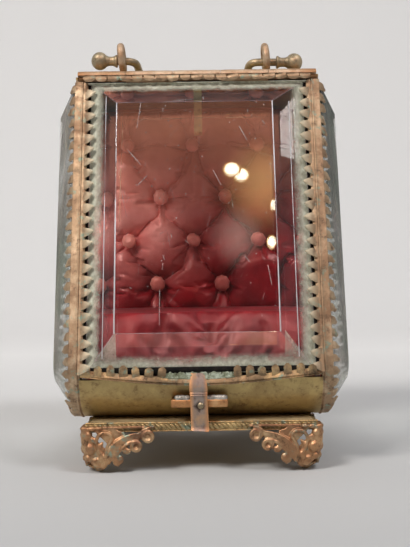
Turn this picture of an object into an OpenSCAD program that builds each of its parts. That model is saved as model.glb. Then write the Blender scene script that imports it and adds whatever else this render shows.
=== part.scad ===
/* [Casket] */
// Width over the ridges of the corner posts
ridge_w = 68; // [60:1:90]
// Height of the underside of the box above the floor
base_z = 13.6; // [11.5:0.1:18]
// Height of the box from its underside to the top plate
box_h = 99; // [85:1:120]
// Depth of the box at its foot, before the corners are rounded
box_d = 77.5; // [70:0.5:95]
// Angle by which the front leans back
lean = 14; // [8:0.5:18]
// Radius of the rounded lower corners
bend_r = 15; // [12:0.5:18]
// Thickness of the sheet brass
sheet = 0.8; // [0.5:0.1:1.2]

/* [Glass] */
// Thickness of the bevelled glass at its edge
edge_t = 1.5; // [1:0.1:2.5]
// Height by which the bevel rises above the edge of the door glass
door_rise = 5.3; // [3:0.1:6]
// Height by which the bevel rises above the edge of a side glass
side_rise = 5.8; // [3:0.1:7]
// Width of the bevel on a side glass
side_bevel = 8.75; // [6:0.25:11]
// Width of the door glass's bevel on its left
bevel_left = 8; // [6:0.1:11]
// Width of the door glass's bevel on its right
bevel_right = 9.6; // [6:0.1:11]
// Width of the door glass's bevel at its top
bevel_top = 8.4; // [6:0.1:11]
// Width of the door glass's bevel at its bottom
bevel_bottom = 10; // [6:0.1:12]

/* [Toothed strips] */
// Distance from one tooth to the next
tooth_pitch = 3.5; // [3:0.1:4.5]
// Width of a tooth
tooth_w = 2.2; // [1.6:0.1:2.6]
// Thickness of a toothed strip
strip_t = 0.5; // [0.4:0.05:0.7]
// Length of a tooth over the door glass
door_tooth = 3.6; // [3:0.1:4.5]
// Length of a tooth over a side glass
side_tooth = 3.2; // [2.4:0.1:4]
// Depth of a post's wall behind its ridge
post_depth = 6; // [5:0.5:8]
// Thickness of a post's wall
post_t = 1.2; // [0.9:0.1:1.6]
// Radius of the bead that runs down a post's ridge
ridge_r = 0.75; // [0.5:0.05:1]

/* [Hinge] */
// Diameter of the hinge barrel
barrel_d = 2.9; // [2.6:0.1:3.6]
// Diameter of the hinge pin
pin_d = 1.3; // [1:0.1:1.5]
// Length of the hinge barrel
barrel_l = 70; // [60:1:90]
// Number of knuckles
knuckle_n = 5; // [3:2:7]

/* [Latch] */
// Width of the latch tongue
tongue_w = 4.9; // [4:0.1:6]
// Thickness of the latch tongue
tongue_t = 0.8; // [0.5:0.1:1]
// Height of the tongue's lower end above the floor
tongue_low_z = 11.6; // [10.5:0.1:13]
// Radius of the catch stud
stud_r = 1; // [0.8:0.1:1.2]
// Length of the catch bar
catch_l = 15; // [12:0.5:18]
// Height of the catch bar
catch_h = 3.6; // [3:0.1:4]

/* [Handle] */
// Outer diameter of a handle eye
eye_d = 9.2; // [8:0.1:11]
// Thickness of the wire of a handle eye
eye_wire = 2.3; // [1.8:0.1:2.6]
// Height of the foot under a handle eye's ring
eye_foot = 2.1; // [0.6:0.1:2.4]
// Distance from the middle to the left handle eye
eye_left_x = 22.4; // [20:0.1:23]
// Distance from the middle to the right handle eye
eye_right_x = 20.3; // [20:0.1:23]
// Thickness of the bail's wire
bail_wire = 2.4; // [2:0.1:2.6]
// Distance from the bail's pivot to the middle of its grip
bail_reach = 22; // [18:0.5:26]
// Diameter of the turned balls on the bail's ends
ball_d = 5.2; // [4:0.1:5.4]
// Thickness of the turned neck between a ball and its collar
neck_d = 3; // [2.4:0.1:3.4]
// Distance from the middle to the centre of each ball
ball_x = 29.3; // [28:0.1:30]

/* [Base and feet] */
// Height of the gallery strips
gallery_h = 2.6; // [2:0.1:3]
// Thickness of the gallery strips
gallery_t = 1.2; // [0.8:0.1:1.6]
// Length of a foot's wings from its corner
foot_l = 21; // [16:0.5:26]
// Thickness of a foot's wings
foot_t = 2.4; // [1.8:0.1:3]
// Radius of the pad under a foot's tip
foot_tip_r = 1.4; // [1:0.1:2]

/* [Lining] */
// Height of the floor tray above the floor of the room
tray_z = 27.4; // [24:0.1:30]
// Thickness of the card boards
card_t = 1.5; // [1:0.1:2]
// Height of the floor cushion
cushion_h = 14; // [10:0.5:16]
// Thickness of the tufted back pad
pad_t = 8; // [6:0.5:10]
// Diameter of the covered buttons
button_d = 5.8; // [5:0.1:7]
// Distance between the buttons in a row
button_pitch = 22; // [20:0.5:24]
// Height of the highest row of buttons above the floor of the room
button_top_z = 97.5; // [92:0.5:99]
// Drop from the highest row of buttons to the second
button_first_drop = 17.6; // [15:0.1:18]
// Drop from each of the other rows to the next
button_drop = 14.8; // [14:0.1:15.5]
// Length of the watch hook below the ceiling
hook_l = 15; // [10:0.5:18]
// Width of the watch hook's strip
hook_w = 2.6; // [2:0.1:3.2]

/* [Hidden] */

// Clearances
move_gap = 0.3;     // between pieces that move past each other
seat_gap = 0.05;    // between curved faces that are soldered or pressed together
pin_gap = 0.05;     // radial, between the hinge pin and its knuckles
soft_gap = 0.3;     // round the silk and the card

// Small sizes that the pieces share
cap_t = 0.6;                                    // thickness of a post's cap
edge_inset = cap_t + 0.3;                       // from a wall's outer face to the side glass's edge
ridge_shift = 0.1;                              // the ridge's bead, outwards of the ridge line
ridge_sink = 0.35;                              // and its centre, behind the wall's outer face
ledge_w = 2.4;                                  // width of a post's ledge
ledge_t = 0.6;                                  // thickness of a post's ledge
ledge_in = 0.8;                                 // by which the ledge stops short of the post's straight part
cap_lift = 0.35;                                // from the side glass's top edge to its top strip
side_angle = atan2(side_bevel, side_rise) - 2;  // slope of the teeth on a side glass
bend_steps = 8;                                 // flats that stand for a side glass's rounded corner
strip_lip = 3.4;                                // depth of the lip inside a side glass's top
strip_cover = 1.5;                              // width of the lips behind the door glass
wall_to_glass = 1;                              // from the side strips' wall to the glass's edge
top_tooth = 2.4;                                // length of the teeth under the hinge
bottom_tooth = 2.8;                             // length of the bottom strip's teeth

// Widths, measured from the middle plane
post_in = ridge_w / 2 - 1;                      // inner face of a post
post_out = post_in + post_t;                    // outer face of a post, where a side glass lies
cap_out = post_out + edge_t + 0.2;              // outer edge of a post's cap, past the glass's edge
door_w = post_in - move_gap - 0.1;              // outer face of the door's side strips
door_wall = 0.6;                                // thickness of the door strips' outer wall
glass_w = door_w - door_wall - wall_to_glass;   // edge of the door glass
lip_x = glass_w - strip_cover;                  // inner edge of the side strips' lips

// Heights and depths of the box
top_z = base_z + box_h - sheet;                 // underside of the top plate
front_bend = bend_r / tan((90 - lean) / 2);     // from the sharp foot to where the front bend ends
hinge_s = (box_h - sheet / 2 + 0.2) / cos(lean);  // the hinge axis, up the slope
door_top_s = hinge_s - barrel_d / 2 - move_gap - 0.1;
side_top_z = top_z - 1.4;                       // top edge of the side glasses
door_low_s = 13.2;                              // the door's lower edge, up the slope
strip_wall = 0.5;                               // thickness of the top and bottom strips' outer wall
glass_top_s = door_top_s - strip_wall - 0.1;
glass_low_s = door_low_s + strip_wall + 0.3;
glass_back = 2;                                 // back face of the door glass, behind the front plane
door_back = glass_back + strip_t;               // back face of the door strips
post_top_s = hinge_s - barrel_d / 2 - move_gap - 0.1;

// The box is centred between its foremost edge, the glass's lower arris, and the ridges at its back
arris_y = (glass_low_s + bevel_bottom) * sin(lean) + (glass_back - edge_t - door_rise) * cos(lean);
front_y = -(arris_y + box_d + ridge_r - ridge_sink) / 2;
back_y = front_y + box_d;
front_cy = front_y + front_bend;                // centre of the front bend
back_cy = back_y - bend_r;                      // centre of the back bend
bend_cz = base_z + bend_r;                      // height of both centres

hinge_y = front_y + hinge_s * sin(lean);
hinge_z = base_z + hinge_s * cos(lean);

// Latch
root_t = 0.8;                                   // thickness of the tongue's root on the door strip
root_drop = 0.8;                                // length of the root below the door strip
tongue_bend_s = door_low_s - 3;                 // where the tongue bends, up the slope
tongue_low_y = slope_point(tongue_bend_s, seat_gap)[0] + 1.2;
catch_z = base_z + 5.8;                         // middle of the catch bar
stud_z = catch_z - 1.1;
catch_y = tongue_low_y + move_gap - 0.5;        // front face of the catch bar

// Handle
plate_top = top_z + sheet;
eye_y = hinge_y + barrel_d / 2 + eye_d / 2 + 0.45;
eye_z = plate_top + eye_foot + eye_d / 2;
bail_z = eye_z - (eye_d / 2 - eye_wire - bail_wire / 2) + seat_gap;
bail_bend = 3;                                  // radius of the bends beside the eyes
grip_bend = 7;                                  // radius of the bends at the grip
bail_arm_x = min(eye_left_x, eye_right_x) - eye_wire / 2 - bail_bend - 0.1;
bail_end = max(eye_left_x, eye_right_x) + eye_wire / 2 + 0.35;
bail_tilt = asin((bail_z - plate_top - bail_wire / 2 - 0.1) / bail_reach);
collar_r = 1.9;                                 // radius of the collar beside each ball
collar_l = 0.7;                                 // length of that collar

// Plinth and feet
plinth_w = ridge_w / 2 - 2.4;                   // outer faces of the gallery, from the middle plane
plinth_front = front_y + 5.5;
plinth_back = back_y - 3;
foot_h = base_z - gallery_h;                    // height of the feet, up to the gallery
foot_out = 1.6;                                 // by which the feet stand out from the gallery
foot_tip = 4.2;                                 // the tip's place, in from the corner both ways

// Lining
lining_w = post_in - soft_gap - 0.1;            // half width of the lining
board_y = back_y - sheet - seat_gap - ledge_t - 0.1 - card_t;
pad_y = board_y - pad_t;                        // front face of the pad's slab
pad_top_z = top_z - 1.8;
cushion_w = post_in - ledge_w - 0.6;            // half width of the floor cushion
button_t = 1.8;                                 // height of a covered button
button_rows = 5;
button_shift = -2.2;                            // the buttons stand a little off the middle
hook_t = 0.6;                                   // thickness of the hook's strip
hook_y = (hinge_y + pad_y) / 2;

// Hinge leaves
leaf_t = 0.7;
leaf_start = 0.8;                               // from the hinge axis to where a leaf begins
body_leaf = 6;                                  // reach of the body's leaves behind the axis

// A height's place on the front wall, w outwards of its face, and a point up the slope as (y, z)
function front_line_y(z, w) = front_y + (z - base_z) * tan(lean) - w / cos(lean);
function slope_point(s, w) = [front_y + s * sin(lean) - w * cos(lean), base_z + s * cos(lean) + w * sin(lean)];

gilt = "darkgoldenrod";
copper = "peru";
silk = "firebrick";
clear = [0.85, 0.92, 0.88, 0.4];
function knuckle_x(i) = -barrel_l / 2 + i * barrel_l / knuckle_n;

// The frame of the front or back wall: up along the wall, with the box's inside towards +Y
module wall_frame(front) {
    if (front)
        translate([0, front_y, base_z]) rotate([-lean, 0, 0]) children();
    else
        translate([0, back_y, base_z]) mirror([0, 1, 0]) children();
}

// A place on the outer face of a wall, at a distance up from its sharp foot
module on_wall(front, s) {
    wall_frame(front) translate([0, 0, s]) children();
}

// The same place carried down round the wall's lower bend by an angle
module on_bend(front, angle) {
    wall_frame(front) translate([0, bend_r, bend_start(front)]) rotate([angle, 0, 0])
        translate([0, -bend_r, 0]) children();
}

// Sweeps an outline of (radius, x) points round a wall's lower bend, from one angle to another
module bend_sweep(front, from, to) {
    wall_frame(front) translate([0, bend_r, bend_start(front)]) rotate([90, 0, 90])
        rotate([0, 0, 180 + from]) rotate_extrude(angle = to - from, $fn = 96) children();
}

function bend_angle(front) = front ? 90 + lean : 90;
function bend_start(front) = front ? front_bend : bend_r;

module mirrored(side) {
    if (side < 0)
        mirror([1, 0, 0]) children();
    else
        children();
}

// Outline of a corner post: the wall that the side glass lies on, the cap over its edge, and the ridge
module post_outline() {
    translate([post_in, 0]) square([post_t, post_depth]);
    translate([post_in, 0]) square([cap_out - post_in, cap_t]);
    translate([ridge_w / 2 + ridge_shift, ridge_sink]) intersection() {
        circle(r = ridge_r, $fn = 32);
        translate([-ridge_r, -ridge_r]) square([2 * ridge_r, ridge_r + cap_t - ridge_sink]);
    }
}

// A tooth folded outwards from the cap, over the bevel of the side glass
module side_glass_tooth() {
    translate([cap_out - 0.2, cap_t - strip_t / 4, -tooth_w / 2]) rotate([0, 0, side_angle])
        translate([0, -strip_t, 0]) cube([side_tooth, strip_t, tooth_w]);
}

// Front posts carry a ledge that stops the door, back posts one that holds the back plate
module corner_post(front, side) {
    start = bend_start(front);
    top = front ? post_top_s : side_top_z + cap_lift - base_z;
    step = tooth_pitch / bend_r * 180 / PI;
    ledge_y = front ? door_back + move_gap : sheet + seat_gap;
    color(gilt) mirrored(side) {
        on_wall(front, start) linear_extrude(top - start) post_outline();
        bend_sweep(front, 0, bend_angle(front)) translate([bend_r, 0]) rotate(90) post_outline();
        for (s = [start + tooth_pitch / 2 : tooth_pitch : top - tooth_pitch / 2])
            on_wall(front, s) side_glass_tooth();
        for (a = [step / 2 : step : bend_angle(front) - step / 3])
            on_bend(front, a) side_glass_tooth();
        on_wall(front, start + ledge_in) translate([post_in - ledge_w, ledge_y, 0])
            cube([ledge_w + post_t / 2, ledge_t, top - start - 2 * ledge_in]);
    }
}

module side_strip_top(side) {
    from_y = hinge_y + barrel_d / 2 + move_gap;
    lip_y = front_line_y(side_top_z + cap_lift, -post_depth) + move_gap;
    color(gilt) mirrored(side) {
        translate([post_in, from_y, side_top_z + cap_lift])
            cube([cap_out - post_in, back_y - from_y, top_z - side_top_z - cap_lift]);
        translate([post_in, lip_y, side_top_z - strip_lip])
            cube([post_t, back_y - post_depth - move_gap - lip_y, strip_lip + cap_lift + 0.1]);
        for (y = [from_y + tooth_pitch : tooth_pitch : back_y - tooth_pitch / 2])
            translate([0, y, side_top_z + edge_inset]) rotate([-90, 0, 0]) side_glass_tooth();
    }
}

module side_strip_bottom(side) {
    color(gilt) mirrored(side) {
        translate([0, back_cy, base_z]) rotate([90, 0, 0]) linear_extrude(back_cy - front_cy) post_outline();
        for (y = [front_cy + tooth_pitch / 2 : tooth_pitch : back_cy - tooth_pitch / 2])
            translate([0, y, base_z]) rotate([90, 0, 0]) side_glass_tooth();
    }
}

// The side of the box as (y, z) points, brought in by an inset, and level at its top
function side_outline(inset, top) = concat(
    [[front_line_y(top, -inset), top]],
    [for (i = [0 : bend_steps]) let (a = 180 - lean + i * (90 + lean) / bend_steps)
        [front_cy + (bend_r - inset) * cos(a), bend_cz + (bend_r - inset) * sin(a)]],
    [for (i = [0 : bend_steps]) let (a = 270 + i * 90 / bend_steps)
        [back_cy + (bend_r - inset) * cos(a), bend_cz + (bend_r - inset) * sin(a)]],
    [[back_y - inset, top]]);

module side_slab(x, thick, inset, top) {
    translate([x, 0, 0]) rotate([90, 0, 90]) linear_extrude(thick) polygon(side_outline(inset, top));
}

module side_glass(side) {
    face = 0.01;
    color(clear) mirrored(side) hull() {
        side_slab(post_out, edge_t, edge_inset, side_top_z);
        side_slab(post_out + edge_t + side_rise - face, face, edge_inset + side_bevel,
            side_top_z - side_bevel);
    }
}

module top_plate() {
    from_y = hinge_y + barrel_d / 2 + move_gap;
    color(gilt) translate([-cap_out, from_y, top_z]) cube([2 * cap_out, back_y - from_y, sheet]);
}

module back_plate() {
    color(gilt) {
        translate([-post_in, back_y - sheet, bend_cz]) cube([2 * post_in, sheet, top_z - bend_cz]);
        bend_sweep(false, 0, 90) translate([bend_r - sheet, -post_in]) square([sheet, 2 * post_in]);
    }
}

module base_plate() {
    color(gilt) translate([-post_in, front_cy, base_z]) cube([2 * post_in, back_cy - front_cy, sheet]);
}

// The apron hangs below the door and runs in under the box round the front bend
module front_apron() {
    top = base_z + door_low_s * cos(lean) - door_back * sin(lean) - move_gap - 0.15;
    from = lean + asin((bend_cz - top) / bend_r);
    color(gilt) bend_sweep(true, from, 90 + lean) translate([bend_r - sheet, -post_in])
        square([sheet, 2 * post_in]);
}

module plinth_plate() {
    color(gilt) translate([gallery_t - plinth_w, plinth_front + gallery_t, base_z - sheet])
        cube([2 * (plinth_w - gallery_t), plinth_back - plinth_front - 2 * gallery_t, sheet]);
}

module gallery_across(y) {
    color(gilt) translate([-plinth_w, y, base_z - gallery_h]) cube([2 * plinth_w, gallery_t, gallery_h]);
}

module gallery_along(x) {
    color(gilt) translate([x, plinth_front + gallery_t, base_z - gallery_h])
        cube([gallery_t, plinth_back - plinth_front - 2 * gallery_t, gallery_h]);
}

// One wing of a foot, from the corner along x: a scrolled bracket, cut through by a slanting slot
module foot_wing() {
    difference() {
        linear_extrude(foot_t) union() {
            polygon([[0.4, foot_h], [0, foot_h * 0.72], [1, foot_h * 0.42], [foot_tip - 0.4, 0.6],
                [foot_tip + 2.2, 0.6], [foot_l * 0.4, foot_h * 0.22], [foot_l * 0.36, foot_h * 0.5],
                [foot_l * 0.5, foot_h * 0.68], [foot_l * 0.78, foot_h * 0.7], [foot_l, foot_h * 0.86],
                [foot_l, foot_h]]);
            translate([foot_l * 0.4, foot_h * 0.2]) circle(r = foot_h * 0.16, $fn = 24);
            translate([foot_l * 0.62, foot_h * 0.72]) circle(r = foot_h * 0.2, $fn = 24);
        }
        translate([foot_tip + 1, foot_h * 0.62, -1]) rotate([0, 0, -50])
            translate([-1.8, -0.35, 0]) cube([3.6, 0.7, foot_t + 2]);
    }
}

// A corner foot: two wings under the gallery, and a leg that leans in from the corner to its tip
module foot(side, front) {
    corner_y = front ? plinth_front - foot_out : plinth_back + foot_out;
    color(copper) mirrored(side) translate([plinth_w + foot_out, corner_y, 0])
        mirror([0, front ? 0 : 1, 0]) {
        mirror([1, 0, 0]) translate([0, foot_t, 0]) rotate([90, 0, 0]) foot_wing();
        translate([-foot_t, 0, 0]) rotate([90, 0, 90]) foot_wing();
        hull() {
            translate([-foot_tip, foot_tip, 0]) cylinder(r = foot_tip_r, h = 0.6, $fn = 32);
            translate([-foot_t - 1, 1, foot_h * 0.45]) cube([foot_t, foot_t, foot_h * 0.5]);
        }
        translate([-foot_out + 0.15, 0, foot_h - 0.2]) cube([foot_out - 0.35, foot_l * 0.28, gallery_h * 0.8]);
        translate([-foot_l * 0.28, 0, foot_h - 0.2]) cube([foot_l * 0.28 - 0.2, foot_out - 0.15, gallery_h * 0.8]);
    }
}

module back_board() {
    color(silk) translate([-lining_w, board_y, tray_z + soft_gap])
        cube([2 * lining_w, card_t, top_z - tray_z - 2 * soft_gap]);
}

module back_pad() {
    color(silk) translate([-lining_w, pad_y, tray_z + soft_gap])
        cube([2 * lining_w, pad_t, pad_top_z - tray_z - soft_gap]);
}

// The buttons stand in rows, each row set off by half a step from the one above
module back_buttons() {
    color(silk) for (row = [0 : button_rows - 1], i = [-1 : 1]) {
        odd = row % 2;
        x = button_shift + (i + odd / 2) * button_pitch;
        z = button_top_z - (row > 0 ? button_first_drop + (row - 1) * button_drop : 0);
        if (i + odd < 2)
            translate([x, pad_y, z]) rotate([90, 0, 0]) {
                cylinder(d = button_d, h = button_t / 2, $fn = 32);
                translate([0, 0, button_t / 2])
                    cylinder(d1 = button_d, d2 = button_d * 0.6, h = button_t / 2, $fn = 32);
            }
    }
}

// The tray's sides follow the box round its lower bends and stand on the base plate
// The tray stands on the base plate on two walls of its own card
module floor_tray() {
    front = front_line_y(tray_z, -door_back) + soft_gap;
    color(silk) {
        translate([-lining_w, front, tray_z - card_t]) cube([2 * lining_w, back_y - sheet - soft_gap - front,
            card_t]);
        for (x = [-lining_w, lining_w - card_t])
            translate([x, front_cy, base_z + sheet])
                cube([card_t, back_cy - front_cy, tray_z - card_t / 2 - base_z - sheet]);
    }
}

module floor_cushion() {
    front = front_line_y(tray_z + cushion_h * 0.6, -door_back - ledge_t - move_gap) + soft_gap;
    back = pad_y - button_t - soft_gap;
    color(silk) hull() {
        translate([-cushion_w, front, tray_z]) cube([2 * cushion_w, back - front, cushion_h * 0.6]);
        translate([-cushion_w + 3, front + 4, tray_z]) cube([2 * cushion_w - 6, back - front - 5, cushion_h]);
    }
}

// A strip folded out under the ceiling at its top and curled up at its lower end
module watch_hook() {
    curl_r = 2.2;
    color(gilt) {
        translate([-hook_w * 1.4, hook_y - hook_w, top_z - hook_t]) cube([hook_w * 2.8, hook_w * 2, hook_t]);
        translate([-hook_w / 2, hook_y, top_z - hook_l + curl_r]) cube([hook_w, hook_t, hook_l - curl_r]);
        translate([-hook_w / 2, hook_y + hook_t - curl_r, top_z - hook_l + curl_r]) rotate([90, 0, 90])
            rotate([0, 0, 180]) rotate_extrude(angle = 180, $fn = 48)
                translate([curl_r - hook_t, 0]) square([hook_t, hook_w]);
    }
}

module barrel_piece(i) {
    first = i > 0 ? move_gap / 2 : 0;
    last = i < knuckle_n - 1 ? move_gap / 2 : 0;
    translate([knuckle_x(i) + first, hinge_y, hinge_z]) rotate([0, 90, 0])
        cylinder(d = barrel_d, h = barrel_l / knuckle_n - first - last, $fn = 48);
}

module pin_bore() {
    translate([-barrel_l / 2 - 1, hinge_y, hinge_z]) rotate([0, 90, 0])
        cylinder(d = pin_d + 2 * pin_gap, h = barrel_l + 2, $fn = 48);
}

function leaf_from(i) = max(knuckle_x(i) + move_gap / 2, -post_in + move_gap);
function leaf_to(i) = min(knuckle_x(i + 1) - move_gap / 2, post_in - move_gap);

// The body's knuckles reach back under the top plate
module hinge_knuckles_body() {
    color(copper) difference() {
        for (i = [0 : 2 : knuckle_n - 1]) {
            barrel_piece(i);
            translate([leaf_from(i), hinge_y + leaf_start, top_z - leaf_t])
                cube([leaf_to(i) - leaf_from(i), body_leaf - leaf_start, leaf_t]);
        }
        pin_bore();
    }
}

// The door's knuckles stand on the door's top strip
module hinge_knuckles_door() {
    color(copper) difference() {
        for (i = [1 : 2 : knuckle_n - 2]) {
            barrel_piece(i);
            on_wall(true, door_top_s) translate([leaf_from(i), leaf_t, 0])
                cube([leaf_to(i) - leaf_from(i), leaf_t, hinge_s - door_top_s - leaf_start]);
        }
        pin_bore();
    }
}

module hinge_pin() {
    color(gilt) translate([-barrel_l / 2, hinge_y, hinge_z]) rotate([0, 90, 0])
        cylinder(d = pin_d, h = barrel_l, $fn = 48);
}

// Thick bevelled plate: a thin edge all round, rising to a flat face
module door_glass() {
    face = 0.01;
    tall = glass_top_s - glass_low_s;
    color(clear) on_wall(true, glass_low_s) hull() {
        translate([-glass_w, glass_back - edge_t, 0]) cube([2 * glass_w, edge_t, tall]);
        translate([-glass_w + bevel_left, glass_back - edge_t - door_rise, bevel_bottom])
            cube([2 * glass_w - bevel_left - bevel_right, face, tall - bevel_top - bevel_bottom]);
    }
}

// A tooth folded inwards over the door glass's bevel, drawn along +x from the strip's wall
function tooth_lift(long, to_edge, bevel) = atan2((long - to_edge) * door_rise / bevel + 0.1, long);
module door_glass_tooth(long, to_edge, bevel) {
    translate([0, strip_t, -tooth_w / 2]) rotate([0, 0, -tooth_lift(long, to_edge, bevel)])
        translate([0, -strip_t, 0]) cube([long, strip_t, tooth_w]);
}

module door_strip_side(side, bevel) {
    from = door_low_s + strip_wall;
    tall = door_top_s - strip_wall - from;
    count = floor((tall - tooth_w) / tooth_pitch);
    first = from + (tall - count * tooth_pitch) / 2;
    color(gilt) mirrored(side) {
        on_wall(true, from) {
            translate([door_w - door_wall, 0, 0]) cube([door_wall, door_back, tall]);
            translate([lip_x, glass_back, 0]) cube([door_w - lip_x, strip_t, tall]);
        }
        for (i = [0 : count])
            on_wall(true, first + i * tooth_pitch) translate([door_w - 0.2, 0, 0]) mirror([1, 0, 0])
                door_glass_tooth(door_tooth, door_wall + wall_to_glass - 0.2, bevel);
    }
}

// Turns a tooth drawn along +x so that it points up the slope
module tooth_up() { rotate([0, -90, 0]) children(); }
module tooth_down() { mirror([0, 0, 1]) rotate([0, -90, 0]) children(); }
function across_count() = 2 * floor((door_w - tooth_w) / tooth_pitch);

module door_strip_top() {
    color(gilt) {
        on_wall(true, door_top_s - strip_wall) translate([-door_w, 0, 0])
            cube([2 * door_w, door_back, strip_wall]);
        on_wall(true, glass_top_s - strip_cover) translate([0.1 - lip_x, glass_back, 0])
            cube([2 * lip_x - 0.2, strip_t, strip_cover + door_top_s - glass_top_s - strip_wall / 2]);
        for (i = [0 : across_count()])
            on_wall(true, door_top_s - 0.1) translate([(i - across_count() / 2) * tooth_pitch, 0, 0])
                tooth_down() door_glass_tooth(top_tooth, door_top_s - 0.1 - glass_top_s, bevel_top);
    }
}

// The bottom strip leaves out its teeth above the latch and has a root there for the tongue
module door_strip_bottom() {
    color(gilt) {
        on_wall(true, door_low_s) translate([-door_w, 0, 0]) cube([2 * door_w, door_back, strip_wall]);
        on_wall(true, door_low_s + strip_wall / 2) translate([0.1 - lip_x, glass_back, 0])
            cube([2 * lip_x - 0.2, strip_t, strip_cover + glass_low_s - door_low_s - strip_wall / 2]);
        on_wall(true, door_low_s - root_drop) translate([-tongue_w / 2, 0, 0])
            cube([tongue_w, root_t, root_drop + strip_wall]);
        for (i = [0 : across_count()], x = (i - across_count() / 2) * tooth_pitch)
            if (abs(x) > tongue_w / 2 + tooth_w / 2 + move_gap)
                on_wall(true, door_low_s + 0.1) translate([x, 0, 0])
                    tooth_up() door_glass_tooth(bottom_tooth, glass_low_s - door_low_s - 0.1, bevel_bottom);
    }
}

// The tongue leaves the door's lower strip along the slope, then drops straight past the catch
module latch_tongue() {
    top_s = door_low_s + strip_wall;
    color(copper) difference() {
        translate([-tongue_w / 2, 0, 0]) rotate([90, 0, 90]) linear_extrude(tongue_w) polygon([
            slope_point(top_s, seat_gap), slope_point(tongue_bend_s, seat_gap), [tongue_low_y, tongue_low_z],
            [tongue_low_y - tongue_t, tongue_low_z], slope_point(tongue_bend_s, seat_gap + tongue_t),
            slope_point(top_s, seat_gap + tongue_t)]);
        translate([0, tongue_low_y - tongue_w, stud_z]) rotate([-90, 0, 0])
            cylinder(r = stud_r + move_gap, h = 2 * tongue_w, $fn = 32);
    }
}

module catch_bar() {
    color(gilt) difference() {
        translate([-catch_l / 2, catch_y, catch_z - catch_h / 2]) cube([catch_l, bend_r, catch_h]);
        translate([-catch_l, front_cy, bend_cz]) rotate([0, 90, 0])
            cylinder(r = bend_r + seat_gap, h = 2 * catch_l, $fn = 96);
    }
}

module catch_stud() {
    color(copper) translate([0, catch_y, stud_z]) rotate([90, 0, 0]) {
        cylinder(r = stud_r, h = move_gap + tongue_t / 4, $fn = 32);
        translate([0, 0, move_gap + tongue_t / 4])
            cylinder(r1 = stud_r, r2 = stud_r / 2, h = tongue_t / 2, $fn = 32);
    }
}

module handle_eye(x) {
    color(copper) translate([x, eye_y, eye_z]) {
        rotate([0, 90, 0]) rotate_extrude($fn = 64)
            translate([(eye_d - eye_wire) / 2, 0]) circle(d = eye_wire, $fn = 32);
        translate([0, 0, plate_top - eye_z]) cylinder(d = eye_wire, h = eye_foot + eye_wire / 2, $fn = 32);
    }
}

// Half of the bail: its end through the eye, the arm, and half of the grip
module bail_half() {
    rotate([0, 90, 0]) translate([0, 0, bail_arm_x + bail_bend])
        cylinder(d = bail_wire, h = bail_end - bail_arm_x - bail_bend, $fn = 32);
    translate([bail_arm_x + bail_bend, bail_bend, 0]) rotate([0, 0, 180])
        rotate_extrude(angle = 90, $fn = 48) translate([bail_bend, 0]) circle(d = bail_wire, $fn = 32);
    translate([bail_arm_x, bail_bend, 0]) rotate([-90, 0, 0])
        cylinder(d = bail_wire, h = bail_reach - bail_bend - grip_bend, $fn = 32);
    translate([bail_arm_x - grip_bend, bail_reach - grip_bend, 0])
        rotate_extrude(angle = 90, $fn = 48) translate([grip_bend, 0]) circle(d = bail_wire, $fn = 32);
    translate([0, bail_reach, 0]) rotate([0, 90, 0])
        cylinder(d = bail_wire, h = bail_arm_x - grip_bend, $fn = 32);
}

module handle_bail() {
    color(copper) translate([0, eye_y, bail_z]) rotate([-bail_tilt, 0, 0]) {
        bail_half();
        mirror([1, 0, 0]) bail_half();
    }
}

// A ball turned in one with its neck and collar, which end on the bail's end
module handle_ball(side) {
    color(copper) mirrored(side) translate([bail_end, eye_y, bail_z]) rotate([0, 90, 0]) {
        cylinder(r = collar_r, h = collar_l, $fn = 32);
        cylinder(d = neck_d, h = ball_x - bail_end, $fn = 32);
        translate([0, 0, ball_x - bail_end]) sphere(d = ball_d, $fn = 48);
    }
}

top_plate();
back_plate();
base_plate();
plinth_plate();
front_apron();
corner_post(true, -1);  // corner_post_front_left
corner_post(true, 1);  // corner_post_front_right
corner_post(false, -1);  // corner_post_back_left
corner_post(false, 1);  // corner_post_back_right
side_strip_top(-1);  // side_strip_top_left
side_strip_top(1);  // side_strip_top_right
side_strip_bottom(-1);  // side_strip_bottom_left
side_strip_bottom(1);  // side_strip_bottom_right
side_glass(-1);  // side_glass_left
side_glass(1);  // side_glass_right
gallery_across(plinth_front);  // gallery_front
gallery_across(plinth_back - gallery_t);  // gallery_back
gallery_along(-plinth_w);  // gallery_left
gallery_along(plinth_w - gallery_t);  // gallery_right
foot(-1, true);  // foot_front_left
foot(1, true);  // foot_front_right
foot(-1, false);  // foot_back_left
foot(1, false);  // foot_back_right
back_board();
back_pad();
back_buttons();
floor_tray();
floor_cushion();
watch_hook();
hinge_knuckles_body();
hinge_pin();
handle_eye(-eye_left_x);  // handle_eye_left
handle_eye(eye_right_x);  // handle_eye_right
catch_bar();
catch_stud();
door_glass();
door_strip_top();
door_strip_bottom();
door_strip_side(-1, bevel_left);  // door_strip_left
door_strip_side(1, bevel_right);  // door_strip_right
hinge_knuckles_door();
latch_tongue();
handle_bail();
handle_ball(-1);  // handle_ball_left
handle_ball(1);  // handle_ball_right
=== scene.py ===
import math
import random

import bpy
from mathutils import Matrix, Vector


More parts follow.
